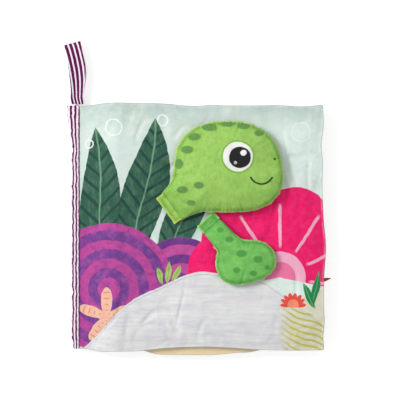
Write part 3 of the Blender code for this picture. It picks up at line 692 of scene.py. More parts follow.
def flipper_print(name, cloth, inks):
    """Green cloth with soft darker spots of uneven size."""
    d = Drawing(name, 0.8, 0.18)
    x, y, _ = d.place((FLIPPER.centre.x, FLIPPER.centre.y, 0.0))
    d.colour = tuple(inks.flipper_green)
    d.cover(d.mottle(60.0, 2.4, -0.9), screen_colour(132, 208, 100))
    d.strokes(None, screen_colour(152, 216, 120), 130.0, 0.5, (0.8, 1.5, 1.0))
    d.strokes(None, screen_colour(92, 176, 76), 260.0, 0.45, (1.4, 0.8, 1.0))
    x, y = wandering(d, x, y, 1.6)
    for across, up, wide, high in ((-14, 20, 3.6, 2.4), (-22, 28, 2.8, 2.2), (-4, 8, 4.6, 3.0),
                                   (10, 3, 4.0, 3.0), (-8, -6, 3.2, 2.4), (6, -9, 3.4, 2.2),
                                   (18, -4, 2.4, 2.0)):
        d.cover(d.spot(x, y, across, up, wide, high) * 0.8, screen_colour(70, 150, 66))
    # The second colour is painted shade in the gathers beside the seam.
    sewn_rim(d, screen_colour(168, 222, 124), screen_colour(58, 138, 56))
    washed(d, 0.08, 140.0)
    d.weave(cloth.weave_pitch, 0.4, cloth.crumple * 0.4)
    return d.finish()


def sewn_rim(d, pale, dark_ink_and_painted_shade):
    """Pale where the cloth turns into the seam, with painted shade in a band beside it where the
    gathers are.
    """
    inward = d.stored("from_seam")
    patchy = d.ramp(d.noise(150.0, 3.0), 2.4, -0.5)
    # Painted shade: a patchy darker band 1.6 to 3.6 mm in from the seam, over the gathers.
    d.cover(d.fill((inward - 2.6).to("ABSOLUTE") - 1.0, 2.4) * patchy * 0.75, dark_ink_and_painted_shade)
    d.cover(d.fill(inward - 1.1, 1.2) * d.spread(patchy, 0.35, 0.95), pale)


def seam_cloth(name, cloth, colour, pale, dark_ink_and_painted_shade):
    """The cloth of a stuffed piece where it runs out flat to its raw edge."""
    d = Drawing(name, 0.84, 0.15)
    d.colour = tuple(colour)
    d.strokes(None, pale, 130.0, 0.6)
    d.strokes(None, dark_ink_and_painted_shade, 260.0, 0.5, (1.4, 0.8, 1.0))
    # The darker ink also paints the shade beside the seam.
    sewn_rim(d, pale, dark_ink_and_painted_shade)
    washed(d, 0.08, 140.0)
    d.weave(cloth.weave_pitch, 0.4)
    return d.finish()


def moulded_plastic(name):
    """The pale smooth plastic of the squeaker."""
    d = Drawing(name, 0.4)
    d.colour = screen_colour(232, 232, 228)
    d.cover(d.noise(300.0, 2.0) * 0.3, screen_colour(214, 214, 210))
    return d.finish()


# Shapes

def ease(share):
    """0 to 1 with a soft start and a soft end."""
    share = np.clip(share, 0, 1)
    return share * share * (3 - 2 * share)


def swell(share):
    """0 to 1 with a steep start and a soft end, as padding rises from a seam."""
    return 1 - (1 - np.clip(share, 0, 1)) ** 2


def spine_rise(across):
    """How far a leaf has come up from its sewn edge at the spine."""
    return ease(across / SPINE_RUN)


def edge_fullness(across, up):
    """How full the padding is, from nothing at the free edges."""
    sides = swell(up / PUFF_RUN) * swell((COVER_HEIGHT - up) / PUFF_RUN)
    return sides * swell((COVER_WIDTH - across) / PUFF_RUN)


def leaf_middle(level, across, up):
    """Height of a leaf's middle layer: close together at the spine, a pitch apart beyond."""
    at_spine = LEAF_THICKNESS / 2 + level * SPINE_PITCH
    at_middle = LEAF_THICKNESS / 2 + level * LEAF_PITCH
    droop = level * EDGE_DROOP * (1 - edge_fullness(across, up))
    return at_spine + spine_rise(across) * (at_middle - at_spine - droop)


def leaf_thickness(across, up):
    """Thickness of a leaf, from its flat seams to its full padding."""
    padding = LEAF_THICKNESS - SEAM_THICKNESS
    return SEAM_THICKNESS + padding * spine_rise(across) * edge_fullness(across, up)


def uneven(x, y, seed, wide, high, detail=3):
    """Smooth unevenness of -1 to 1 in cells of a given width and height."""
    return np.array([noise.fractal((px / wide, py / high, seed), 1.0, 2.0, detail)
                     for px, py in zip(x, y)])


def deselect_all():
    for item in list(bpy.context.selected_objects):
        item.select_set(False)


def choose(piece):
    """Makes a piece the only one selected, ready for an operator."""
    deselect_all()
    bpy.context.view_layer.objects.active = piece
    piece.select_set(True)


def points_of(piece):
    co = np.empty(len(piece.data.vertices) * 3)
    piece.data.vertices.foreach_get("co", co)
    return co.reshape(-1, 3)


def move_points(piece, co):
    piece.data.vertices.foreach_set("co", np.ascontiguousarray(co, dtype=float).ravel())
    piece.data.update()


def store(piece, name, distance):
    """Keeps a distance at each point, in millimetres, where the prints read it."""
    kept = piece.data.attributes.new(name, "FLOAT", "POINT")
    kept.data.foreach_set("value", (distance / MM).astype(np.float32))


def layer_sides(co):
    """1 for points of the upper layer of a thickened grid, -1 for the lower one."""
    return np.where(co[:, 2] > 0.25, 1.0, -1.0)


def new_grid(name, columns, rows):
    """A flat grid from -1 to 1 with its own UV map."""
    deselect_all()
    bpy.ops.mesh.primitive_grid_add(x_subdivisions=columns, y_subdivisions=rows, size=2)
    piece = bpy.context.object
    piece.name = name
    piece.data.name = name
    return piece


def thicken(piece):
    """Draws the whole grid up into a closed slab of two layers."""
    choose(piece)
    bpy.ops.object.mode_set(mode="EDIT")
    bpy.ops.mesh.select_all(action="SELECT")
    bpy.ops.mesh.extrude_region_move(TRANSFORM_OT_translate={"value": (0, 0, 0.5)})
    bpy.ops.object.mode_set(mode="OBJECT")
    face_out(piece)


def face_out(piece, merge=0.0):
    """Turns every face of a closed piece outward, and first merges points that meet."""
    choose(piece)
    bpy.ops.object.mode_set(mode="EDIT")
    bpy.ops.mesh.select_all(action="SELECT")
    if merge:
        bpy.ops.mesh.remove_doubles(threshold=merge)
    bpy.ops.mesh.normals_make_consistent(inside=False)
    bpy.ops.object.mode_set(mode="OBJECT")


def apply_modifier(piece, kind, **values):
    """Adds a modifier with its settings and keeps its result in the mesh."""
    choose(piece)
    modifier = piece.modifiers.new(kind.lower(), kind)
    for key, value in values.items():
        setattr(modifier, key, value)
    bpy.ops.object.modifier_apply(modifier=modifier.name)


def smooth(piece, angle=60):
    choose(piece)
    bpy.ops.object.shade_smooth_by_angle(angle=math.radians(angle))


def dress(piece, body, slot, materials, *nodes):
    """Gives a finished piece its cloth and its place on a body."""
    piece.data.materials.clear()
    for material in materials:
        piece.data.materials.append(material)
    if body is not None:
        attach(piece, body)
    if nodes:
        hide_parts(*nodes)


def grid_lines(length, steps):
    """Places of the grid's lines, close together at both ends."""
    middle = np.linspace(EDGE_STEPS[-1], length - EDGE_STEPS[-1], steps + 1)[1:-1]
    return np.concatenate((EDGE_STEPS, middle, length - EDGE_STEPS[::-1]))


def rounded_edge(distance, radius):
    """Share of the thickness at a distance from an edge that is rounded over."""
    inside = np.clip(distance / radius, 0, 1)
    return np.sqrt(np.maximum(1 - (1 - inside) ** 2, 0.04))


def round_corners(x, y, centres, outward):
    """Draws the square corners of a grid in to a quarter circle."""
    for (cx, cy), (sx, sy) in zip(centres, outward):
        dx, dy = (x - cx) * sx, (y - cy) * sy
        corner = (dx > 0) & (dy > 0)
        far = np.hypot(dx, dy)
        square = np.maximum(dx, dy)
        share = np.where(corner & (far > 0), square / np.maximum(far, 1e-9), 1.0)
        x = np.where(corner, cx + sx * dx * share, x)
        y = np.where(corner, cy + sy * dy * share, y)
    return x, y


def plan_of(leaf, across, up, wave):
    """Where a point of a leaf's flat grid lies, with the edges' draw-in and waves."""
    across_share = across / COVER_WIDTH
    up_share = 2 * up / COVER_HEIGHT - 1
    x = HINGE_X + FIT_GAP + across * (1 - FIT_GAP / COVER_WIDTH)
    y = BOTTOM_Y + up
    r = SEWN_CORNER_RADIUS
    x, y = round_corners(x, y, ((-HINGE_X - r, TOP_Y - r), (-HINGE_X - r, BOTTOM_Y + r)),
                         ((1, 1), (1, -1)))
    x = x - SIDE_DRAW_IN * across_share * (1 - up_share ** 2)
    y = y - SIDE_DRAW_IN * up_share * (1 - (2 * across_share - 1) ** 2)
    if leaf == "page_1":
        lobe = ease((LOBE_WIDTH / 2 + LOBE_SHOULDER / 2 - np.abs(x)) / LOBE_SHOULDER)
        y = y - LOBE_DEPTH * lobe * (1 - ease(up / PUFF_RUN))
    # Slow and quick waves of the free edges, in another phase on each leaf
    phase = 1.7 * LEAF_NAMES.index(leaf)
    near_right = ease((across - COVER_WIDTH + WAVE_REACH) / WAVE_REACH)
    near_top = ease((up - COVER_HEIGHT + WAVE_REACH) / WAVE_REACH)
    near_bottom = ease((WAVE_REACH - up) / WAVE_REACH)
    away = ease(across / SPINE_STILL)
    right = np.sin(y * 62 + phase) * 0.55 + np.sin(y * 151 + phase * 2) * 0.35
    top = np.sin(x * 49 + 1.2 + phase) * 0.4 + np.sin(x * 127 + phase) * 0.35
    bottom = np.sin(x * 55 + phase * 1.3) * 0.4 + np.sin(x * 139 + phase) * 0.25
    if leaf == "front_cover":
        right = right * 0.35 + 0.7 + sum(bow(y, *swing) for swing in RIGHT_SWINGS)
        top = top * 0.3 + 1.2 + sum(bow(x, *swing) for swing in TOP_SWINGS)
        bottom = bottom * 0.3 - 0.9 + sum(bow(x, *swing) for swing in BOTTOM_SWINGS)
    else:
        right = right * 0.5 - 1.2
        top = top * 0.5 - 1.2
        bottom = bottom * 0.4 + (bow(x, *PAGE_1_BOTTOM_SWING) if leaf == "page_1" else 0.6)
    x = x + wave * near_right * right
    y = y + wave * away * (near_top * top + near_bottom * bottom)
    return x, y


def bow(place, middle, reach, height, power=2):
    """One smooth swing of an edge, as high as its height."""
    return height * np.exp(-((place - middle) / reach) ** power)


def fold_line(height, width):
    """A narrow line along the places where an uneven height passes zero."""
    return ease(1 - np.abs(height) / width)


def dents(x, y, across, up, seed, cloth):
    """How far the cloth of a padded leaf sinks at each point."""
    d_side = np.minimum(up, COVER_HEIGHT - up)
    d_free = COVER_WIDTH - across
    full = edge_fullness(across, up) * spine_rise(across)
    # Hollows in the wadding, and folds that run over the leaf and come and go
    broad = uneven(x, y, seed, 0.046, 0.038, 3)
    slanting = fold_line(uneven(x + y * 0.4, y - x * 0.5, seed + 7.3, 0.055, 0.034, 2), 0.13)
    upright = fold_line(uneven(x, y, seed + 9.1, 0.034, 0.090, 2), 0.11)
    come_and_go = np.clip(0.6 + 1.7 * uneven(x, y, seed + 4.4, 0.050, 0.050, 1), 0.1, 1)
    small = uneven(x, y, seed + 6.2, 0.013, 0.016, 2)
    hollow = cloth.dent_depth * full * (0.36 + 0.42 * broad + 0.10 * small)
    crease = cloth.fold_depth * full * come_and_go * np.maximum(slanting, upright)
    # Puckers that run in from the sewn edges
    across_pucker = uneven(x, y, seed + 3.1, 0.0075, 0.050, 2)
    up_pucker = uneven(x, y, seed + 5.7, 0.050, 0.0075, 2)
    fade_side, fade_free = (np.exp(-d / PUCKER_REACH) * np.clip(d / PUCKER_START, 0, 1)
                            for d in (d_side, d_free))
    pucker = cloth.pucker_depth * (fade_side * (0.6 + across_pucker)
                                   + fade_free * (0.6 + up_pucker))
    return np.clip(hollow + crease, 0, None) + np.clip(pucker, 0, None) * spine_rise(across)


def draw_in_seam(u, v, level):
    """Draws the rim of a leaf in between its two panels, where the seam pulls it."""
    depth = SEAM_GROOVE * (1 + 0.5 * uneven(u, v, 21.0 + level, 0.006, 0.006, 2))
    low, high, free = v < MM * 0.01, v > COVER_HEIGHT - MM * 0.01, u > COVER_WIDTH - MM * 0.01
    side_depth = depth * ease(u / SEAM_FADE) * ease((COVER_WIDTH - u) / SEAM_FADE)
    v_sewn = np.where(low, v + side_depth, np.where(high, v - side_depth, v))
    u_sewn = np.where(free, u - depth * ease(np.minimum(v, COVER_HEIGHT - v) / SEAM_FADE), u)
    return u_sewn, v_sewn, low | high | free


def build_leaf(leaf, cloth, wave, steps):
    """One closed padded leaf, from a grid of two layers."""
    level = LEAF_NAMES.index(leaf)
    u_lines = grid_lines(COVER_WIDTH, steps)
    v_lines = grid_lines(COVER_HEIGHT, steps)
    piece = new_grid(f"{leaf}_padded_leaf", len(u_lines) - 1, len(v_lines) - 1)
    thicken(piece)
    co = points_of(piece)
    u = u_lines[np.rint((co[:, 0] + 1) / 2 * (len(u_lines) - 1)).astype(int)]
    v = v_lines[np.rint((co[:, 1] + 1) / 2 * (len(v_lines) - 1)).astype(int)]
    side = layer_sides(co)
    edge = rounded_edge(np.minimum(v, COVER_HEIGHT - v), RIM_ROUNDING) \
        * rounded_edge(COVER_WIDTH - u, RIM_ROUNDING) * rounded_edge(u, SPINE_ROUNDING)
    u_sewn, v_sewn, in_seam = draw_in_seam(u, v, level)
    x, y = plan_of(leaf, u_sewn, v_sewn, wave)
    edge = np.where(in_seam, SEAM_SHARE, edge)
    half = leaf_thickness(u, v) / 2
    sink = np.where(side > 0, dents(x, y, u, v, 2.0 * level, cloth),
                    dents(x, y, u, v, 2.0 * level + 1.0, cloth) * 0.7)
    sink = np.minimum(sink, half * MOST_SINK)
    height = leaf_middle(level, u, v) + side * (half - sink) * edge
    lift = (uneven(x, y, 11.0, 0.09, 0.09, 1) - 1) * LEAF_LIFT * level / 3
    height = height + lift * spine_rise(u)
    move_points(piece, np.column_stack((x, y, height)))
    smooth(piece, 80)
    store(piece, "from_rim", np.minimum(np.minimum(v, COVER_HEIGHT - v), COVER_WIDTH - u))
    return piece


def dress_back(piece):
    """Gives the faces that look down at rest the second cloth."""
    for face in piece.data.polygons:
        face.material_index = 0 if face.normal.z > -0.2 else 1


class Pad:
    """A stuffed shape with an oval body and a flat-ended neck that is sewn to the cover."""

    def __init__(self, centre, length, depth, tilt, beak, neck, run, front, back):
        self.centre = Vector(centre)
        self.length, self.depth, self.tilt = length, depth, tilt
        self.beak_reach, self.beak_angle, self.beak_spread = beak
        self.neck_angle, self.neck_reach, self.neck_width = neck
        self.rise_run, self.front_swell, self.back_swell = run, front, back
        self.out = Vector((math.cos(self.neck_angle), math.sin(self.neck_angle)))
        self.end = self.centre + self.out * self.neck_reach
        self.corner = math.atan2(self.neck_width / 2, self.neck_reach)

    def radius(self, from_neck):
        angle = self.neck_angle + from_neck
        along = np.abs(np.cos(angle - self.tilt)) / (self.length / 2)
        across = np.abs(np.sin(angle - self.tilt)) / (self.depth / 2)
        body = (along ** 2.4 + across ** 2.4) ** (-1 / 2.4)
        turn = np.remainder(angle - self.beak_angle + math.pi, math.tau) - math.pi
        body = body + self.beak_reach * np.exp(-(turn / self.beak_spread) ** 2)
        near = np.abs(from_neck) < math.pi / 2
        cos = np.where(near, np.cos(from_neck), 1.0)
        sin = np.maximum(np.sin(np.abs(from_neck)), 1e-6)
        flat_end = self.neck_reach / cos
        both = (body ** 4 + (self.neck_width / 2 / sin) ** 4) ** 0.25
        neck = np.where(np.abs(from_neck) <= self.corner, flat_end, np.minimum(flat_end, both))
        return np.where(near, neck, body)

    def ring(self, x, y):
        """How far out a place lies, 0 to 1, and its turn from the neck."""
        dx, dy = x - self.centre.x, y - self.centre.y
        angle = np.arctan2(dy, dx) - self.neck_angle
        angle = np.remainder(angle + math.pi, math.tau) - math.pi
        return np.clip(np.hypot(dx, dy) / self.radius(angle), 0, 1), angle

    def seam_gap(self, x, y):
        """Distance from the sewn line at the end of the neck."""
        return np.maximum((self.end.x - x) * self.out.x + (self.end.y - y) * self.out.y, 0)

    def middle(self, gap):
        """Height of the seam that joins the panels, at a distance from the sewn line."""
        return SEWN_Z + self.back_swell * ease(gap / self.rise_run)

    def bulge(self, most, ring, gap):
        """How far a panel swells from its seam."""
        taper = np.minimum(gap / self.rise_run, 1) ** 0.7
        return most * np.maximum(1 - ring * ring, 0) ** 0.6 * taper

    def top(self, x, y):
        """Height of the front panel over a place near the neck's end."""
        ring, _ = self.ring(x, y)
        gap = self.seam_gap(x, y)
        return self.middle(gap) + SEAM_THICKNESS / 2 + self.bulge(self.front_swell, ring, gap)

    def shape(self, x, y, side, share=1.0):
        """Places of a square grid's points on the stuffed shape, and how far in they lie."""
        disc_x, disc_y = x * np.sqrt(1 - y * y / 2), y * np.sqrt(1 - x * x / 2)
        ring = np.clip(np.hypot(disc_x, disc_y), 0, 1)
        angle = np.arctan2(disc_y, disc_x)
        reach = self.radius(angle) * ring
        turned = angle + self.neck_angle
        px = self.centre.x + np.cos(turned) * reach
        py = self.centre.y + np.sin(turned) * reach
        seam_gap = self.seam_gap(px, py)
        most = np.where(side > 0, self.front_swell, self.back_swell)
        rim = SEAM_THICKNESS / 2 * np.clip((1 - ring) / 0.03, 0, 1) ** 0.5
        height = self.middle(seam_gap) + side * (rim + self.bulge(most, ring, seam_gap) * share)
        return np.column_stack((px, py, height)), ring, seam_gap


HEAD = Pad((HINGE_X + 0.127, TOP_Y - 0.0525), 0.090, 0.078, 0.0,
           (0.0050, math.radians(-28), math.radians(34)),
           (math.radians(216), 0.0600, 0.0270), 0.0220, 0.0120, 0.0032)
FLIPPER = Pad((HINGE_X + 0.143, TOP_Y - 0.1345), 0.052, 0.036, math.radians(14),
              (0.0, 0.0, 1.0), (math.radians(133), 0.0450, 0.0190), 0.0120, 0.0052, 0.0014)


def build_pad(name, pad, steps, pressure, limit, pucker):
    """Two panels sewn round their outline and swollen by pressure."""
    piece = new_grid(name, steps, steps)
    thicken(piece)
    co = points_of(piece)
    side = layer_sides(co)
    full, ring, seam_gap = pad.shape(co[:, 0], co[:, 1], side)
    start, _, _ = pad.shape(co[:, 0], co[:, 1], side, 0.8)
    outline = ring > 0.999
    full[outline, 2] = start[outline, 2]
    move_points(piece, start)
    # The swollen cloth may leave the built form by a limit, and its back never sinks lower
    settle(piece, outline, seam_gap, pressure)
    swollen = points_of(piece)
    move = np.clip(swollen - full, -limit, limit)
    move[:, 2] = np.where(side < 0, np.maximum(move[:, 2], 0), move[:, 2])
    move[:, 2] = np.minimum(move[:, 2], 0.0012)
    fade = np.clip((seam_gap - 0.003) / 0.006, 0, 1)[:, None]
    move_points(piece, full + move * fade)
    face_out(piece, merge=0.00002)
    apply_modifier(piece, "SUBSURF", levels=1, render_levels=1)
    pucker_pad(piece, pad, pucker)
    smooth(piece, 80)
    return piece


def pucker_pad(piece, pad, depth):
    """Small gathers that run in from the seam, and soft hollows over the stuffing."""
    co = points_of(piece)
    ring, angle = pad.ring(co[:, 0], co[:, 1])
    radius = pad.radius(angle)
    inward = (1 - ring) * radius
    seam_gap = pad.seam_gap(co[:, 0], co[:, 1])
    middle = pad.middle(seam_gap)
    above = np.where(co[:, 2] > middle, 1.0, -1.0)
    room = PANEL_ROOM * np.abs(co[:, 2] - middle) + 1e-7
    around = angle * PAD_RADIUS
    # Gathers that run in from the seam, stronger in some patches than in others
    gathers = uneven(around, inward, 21.0, 0.0056, 0.030, 2)
    patches = 0.35 + 0.65 * ease(0.5 + uneven(around, inward, 31.0, 0.020, 0.050, 1) * 1.6)
    fade = np.exp(-inward / GATHER_REACH) * np.clip(inward / 0.0008, 0, 1)
    held = np.clip((seam_gap - 0.002) / 0.008, 0, 1)
    sink = depth * np.clip(0.35 + gathers, 0, None) * patches * fade * held
    # Draws of the single stitches, close to the seam
    wander = uneven(around, inward * 0, 71.0, 0.012, 1.0, 1)
    drawn_in = 0.5 + 0.5 * np.cos(around * math.tau / STITCH_PITCH + wander * 5)
    close = np.exp(-inward / STITCH_REACH) * np.clip(inward / 0.0005, 0, 1)
    sink = sink + depth * 0.50 * drawn_in * (0.1 + 0.9 * patches) * close * held
    # Soft hollows over the stuffing
    broad = uneven(co[:, 0], co[:, 1], 41.0, 0.026, 0.022, 2)
    sink = sink + depth * 0.9 * np.clip(0.3 + broad, 0, None) * held * np.clip(inward / 0.012, 0, 1)
    sink = room * np.tanh(sink * np.where(above > 0, 1.0, 0.6) / room)
    co[:, 2] -= above * sink
    # The outline wanders and comes in a little at each stitch
    edge = np.clip(1 - inward / 0.003, 0, 1) * held
    nudge = uneven(around, inward * 0, 51.0, 0.0060, 1.0, 2) * 0.6 - drawn_in * patches * 0.12
    nudge = nudge * depth * edge
    co[:, 0] += np.cos(angle + pad.neck_angle) * nudge
    co[:, 1] += np.sin(angle + pad.neck_angle) * nudge
    move_points(piece, co)
    store(piece, "from_seam", inward)


def settle(piece, outline, seam_gap, pressure):
    """Lets Blender's cloth swell a piece, held at its sewn end, and keeps the result."""
    held = piece.vertex_groups.new(name="held")
    held.add([int(i) for i in np.flatnonzero(seam_gap < 0.0005)], 1.0, "REPLACE")
    held.add([int(i) for i in np.flatnonzero(outline & (seam_gap >= 0.0005))], 0.6, "REPLACE")
    modifier = piece.modifiers.new("stuffing", "CLOTH")
    settings = modifier.settings
    settings.quality = 6
    settings.mass = 0.15
    settings.tension_stiffness = 12
    settings.compression_stiffness = 8
    settings.shear_stiffness = 4
    settings.bending_stiffness = 0.15
    settings.use_pressure = True
    settings.uniform_pressure_force = pressure
    settings.shrink_min = -0.045
    settings.vertex_group_mass = "held"
    settings.pin_stiffness = 0.6
    settings.effector_weights.gravity = 0
    modifier.collision_settings.use_collision = False
    scene = bpy.context.scene
    modifier.point_cache.frame_start = 1
    modifier.point_cache.frame_end = CLOTH_FRAMES
    for step in range(1, CLOTH_FRAMES + 1):
        scene.frame_set(step)
    choose(piece)
    bpy.ops.object.modifier_apply(modifier=modifier.name)
    scene.frame_set(1)
    piece.vertex_groups.clear()


def build_slab(name, columns, rows, place, rounding=0.0004, length=0.01, width=0.01):
    """A small closed piece of folded cloth; place gives a point for shares and a side."""
    piece = new_grid(name, columns, rows)
    thicken(piece)
    co = points_of(piece)
    u, v = (co[:, 0] + 1) / 2, (co[:, 1] + 1) / 2
    side = layer_sides(co)
    u = ease_ends(u, rounding / length)
    v = ease_ends(v, rounding / width)
    edge = rounded_edge(np.minimum(u, 1 - u) * length, rounding) \
        * rounded_edge(np.minimum(v, 1 - v) * width, rounding)
    move_points(piece, place(u, v, side * edge))
    face_out(piece)
    smooth(piece, 60)
    return piece


def ease_ends(share, margin):
    """Draws the first and last grid lines close to the ends."""
    steps = np.unique(np.round(share, 6))
    near = np.array((0.0, 0.25 * margin, margin))
    lines = np.concatenate((near, np.linspace(margin, 1 - margin, len(steps) - 4)[1:-1],
                            1 - near[::-1]))
    return np.interp(share, steps, lines)


def flat_slab(name, low, high, columns, rows, wander, seed):
    """Folded cloth in a box, U along X and V along Y, with an uneven surface."""
    low, high = np.array(low), np.array(high)
    size = high - low

    def place(u, v, side):
        x = low[0] + size[0] * u
        y = low[1] + size[1] * v
        z = (low[2] + high[2]) / 2 + side * size[2] / 2
        drift = uneven(x, y, seed, 0.006, 0.014, 2)
        return np.column_stack((x, y + drift * wander * 0.3, z - side * np.abs(drift) * wander))

    return build_slab(name, columns, rows, place, 0.0003, size[0], size[1])


def thread_row(name, places, length, radius, material):
    """A row of stitches: one rounded stitch, copied to each place along its direction."""
    deselect_all()
    bpy.ops.mesh.primitive_uv_sphere_add(segments=8, ring_count=5, radius=radius)
    stitch = bpy.context.object
    bpy.ops.object.mode_set(mode="EDIT")
    bpy.ops.mesh.select_all(action="SELECT")
    bpy.ops.transform.resize(value=(length / radius / 2, 1.0, 0.8))
    bpy.ops.object.mode_set(mode="OBJECT")
    copies = []
    for point, direction in places:
        copy = stitch.copy()
        copy.data = stitch.data.copy()
        bpy.context.collection.objects.link(copy)
        copy.data.transform(Vector(direction).to_track_quat("X", "Z").to_matrix().to_4x4())
        co = points_of(copy)
        move_points(copy, co + np.array(point))
        copies.append(copy)
    bpy.data.objects.remove(stitch, do_unlink=True)
    deselect_all()
    for copy in copies:
        copy.select_set(True)
    bpy.context.view_layer.objects.active = copies[0]
    bpy.ops.object.join()
    row = bpy.context.object
    row.name = name
    row.data.name = name
    smooth(row, 180)
    row.data.materials.append(material)
    return row


class BOOK_OT_spine(bpy.types.Operator):
    """Make the folded striped tape of the spine, the seam edges in it and the gutters"""
    bl_idname = "activity_book.spine"
    bl_label = "Spine"

    def execute(self, context):
        cloth = context.scene.book_cloth
        inks = context.scene.book_colours
        inside = []
        plain = {"back_cover": inks.mint, "page_2": inks.sea_blue, "page_1": inks.cream,
                 "front_cover": inks.mint}
        slots = {"back_cover": "cover_print_cloth", "page_2": "page_2_cloth",
                 "page_1": "page_1_cloth", "front_cover": "cover_print_cloth"}
        for level, leaf in enumerate(LEAF_NAMES):
            middle = LEAF_THICKNESS / 2 + level * SPINE_PITCH
            top = TOP_Y - 0.0126 if leaf.startswith("page") else TOP_Y - 0.0002
            half = SEAM_THICKNESS / 2
            piece = flat_slab(f"{leaf}_seam_edge", (HINGE_X - 0.0038, BOTTOM_Y, middle - half),
                              (HINGE_X - FIT_GAP, top, middle + half), 10, 60, 0.0002, level)
            dress(piece, "back_cover", slots[leaf],
                  [plain_cloth(f"{leaf}_edge_cloth", cloth, plain[leaf])], f"{leaf}_seam_tab")
            inside.append(piece)
        for level, (lower, upper) in enumerate(zip(LEAF_NAMES, LEAF_NAMES[1:])):
            inside.append(self.make_gutter(cloth, inks, level, lower, upper))
        self.make_tape(cloth, inks, inside)
        return {"FINISHED"}

    def make_tape(self, cloth, inks, inside):
        """The tape's section: over the seam edges, round the spine and back."""
        steps, rows = 34, 190
        piece = new_grid("spine_tape", steps, rows)
        bottom = LEAF_THICKNESS / 2 - SEAM_THICKNESS / 2 - LEAF_GAP
        top = LEAF_THICKNESS / 2 + 3 * SPINE_PITCH + SEAM_THICKNESS / 2 + LEAF_GAP
        radius, thickness = TAPE_FOLD_RADIUS, TAPE_THICKNESS
        co = points_of(piece)
        u, v = (co[:, 0] + 1) / 2, (co[:, 1] + 1) / 2
        y = BOTTOM_Y + COVER_HEIGHT * v
        left = HINGE_X - TAPE_COVER - 0.0038 * ease((v - 0.80) / 0.20)
        left = left + 0.0016 * ease((0.10 - v) / 0.10)
        left = left + uneven(y, y * 0, 3.0, 0.013, 1.0, 3) * 0.0012
        left = left + bow(y, 0.064, 0.0035, 0.0011) - bow(y, -0.092, 0.006, 0.0006)
        # The section in turn: flat over the seam edges, a bend, the wall, a bend, flat under
        straight = HINGE_X - left - radius
        wall = top - bottom - 2 * radius
        bend = math.pi / 2 * radius
        total = 2 * straight + 2 * bend + wall
        far = u * total
        x, z = HINGE_X - far, np.full_like(far, top)
        for start, angle, cx, cz in ((straight, math.pi / 2, left + radius, top - radius),
                                     (straight + bend + wall, math.pi, left + radius,
                                      bottom + radius)):
            turn = angle + np.clip((far - start) / bend, 0, 1) * math.pi / 2
            past = far > start
            x = np.where(past, cx + radius * np.cos(turn), x)
            z = np.where(past, cz + radius * np.sin(turn), z)
        on_wall = (far > straight + bend) & (far <= straight + bend + wall)
        x = np.where(on_wall, left, x)
        z = np.where(on_wall, top - radius - (far - straight - bend), z)
        under = far > total - straight
        x = np.where(under, left + radius + (far - (total - straight)), x)
        z = np.where(under, bottom, z)
        x = np.minimum(x, HINGE_X - FIT_GAP)
        # The tape stands off the seam edges unevenly where it shows, and lies close below
        crinkle = uneven(y, far, 5.0, 0.0048, 0.0075, 3)
        ripple = uneven(y, far, 9.0, 0.0022, 0.010, 2)
        lift = TAPE_LIFT + 0.00085 * crinkle + 0.00030 * ripple
        out_z = np.where(far < straight + bend / 2, 1.0, np.where(under, -1.0, 0.0))
        z = z + np.where(out_z > 0, np.maximum(lift, -0.1 * MM), 0)
        z = z - np.where(out_z < 0, 0.1 * MM, 0)
        x = x - np.where(out_z == 0, np.maximum(lift, -0.2 * MM), 0)
        move_points(piece, np.column_stack((x, y, z)))
        apply_modifier(piece, "SOLIDIFY", thickness=thickness, offset=1.0, use_even_offset=True)
        face_out(piece)
        smooth(piece, 60)
        stripes = [(-0.01 + 0.138 * step, 0.036) for step in range(9)]
        material = striped_tape("spine_tape_cloth", inks, stripes, 0.0221, COVER_HEIGHT, 0.11)
        dress(piece, "back_cover", "striped_tape", [material], "spine_binding")
        thread = plain_cloth("tape_thread", cloth, inks.stripe_pale)
        places = []
        for place_y in np.linspace(BOTTOM_Y + 0.0035, TOP_Y - 0.0035, TAPE_STITCHES):
            places.append(((HINGE_X - 0.0013, place_y, top + thickness + 0.00020), (0, 1, 0)))
        row = thread_row("spine_stitches", places, 0.0026, 0.00022, thread)
        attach(row, "back_cover")

    def make_gutter(self, cloth, inks, level, lower, upper):
        """A strip of cloth that joins two leaves at the spine."""
        low = LEAF_THICKNESS / 2 + level * SPINE_PITCH + 0.00005
        high = low + SPINE_PITCH - 0.0001
        rows = 10
        piece = new_grid(f"gutter_{lower}_{upper}", rows, 60)
        co = points_of(piece)
        z = low + (high - low) * (co[:, 0] + 1) / 2
        y = co[:, 1] * (COVER_HEIGHT / 2 - 0.0006)
        move_points(piece, np.column_stack((np.full_like(z, HINGE_X + 0.00025), y, z)))
        apply_modifier(piece, "SOLIDIFY", thickness=0.00008, offset=0.0)
        face_out(piece)
        smooth(piece)
        dress(piece, None, "lining_cloth",
              [plain_cloth(f"gutter_cloth_{level + 1}", cloth, inks.cream, coordinates="UV")])
        row = (high - low) / rows
        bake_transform(piece)
        return piece


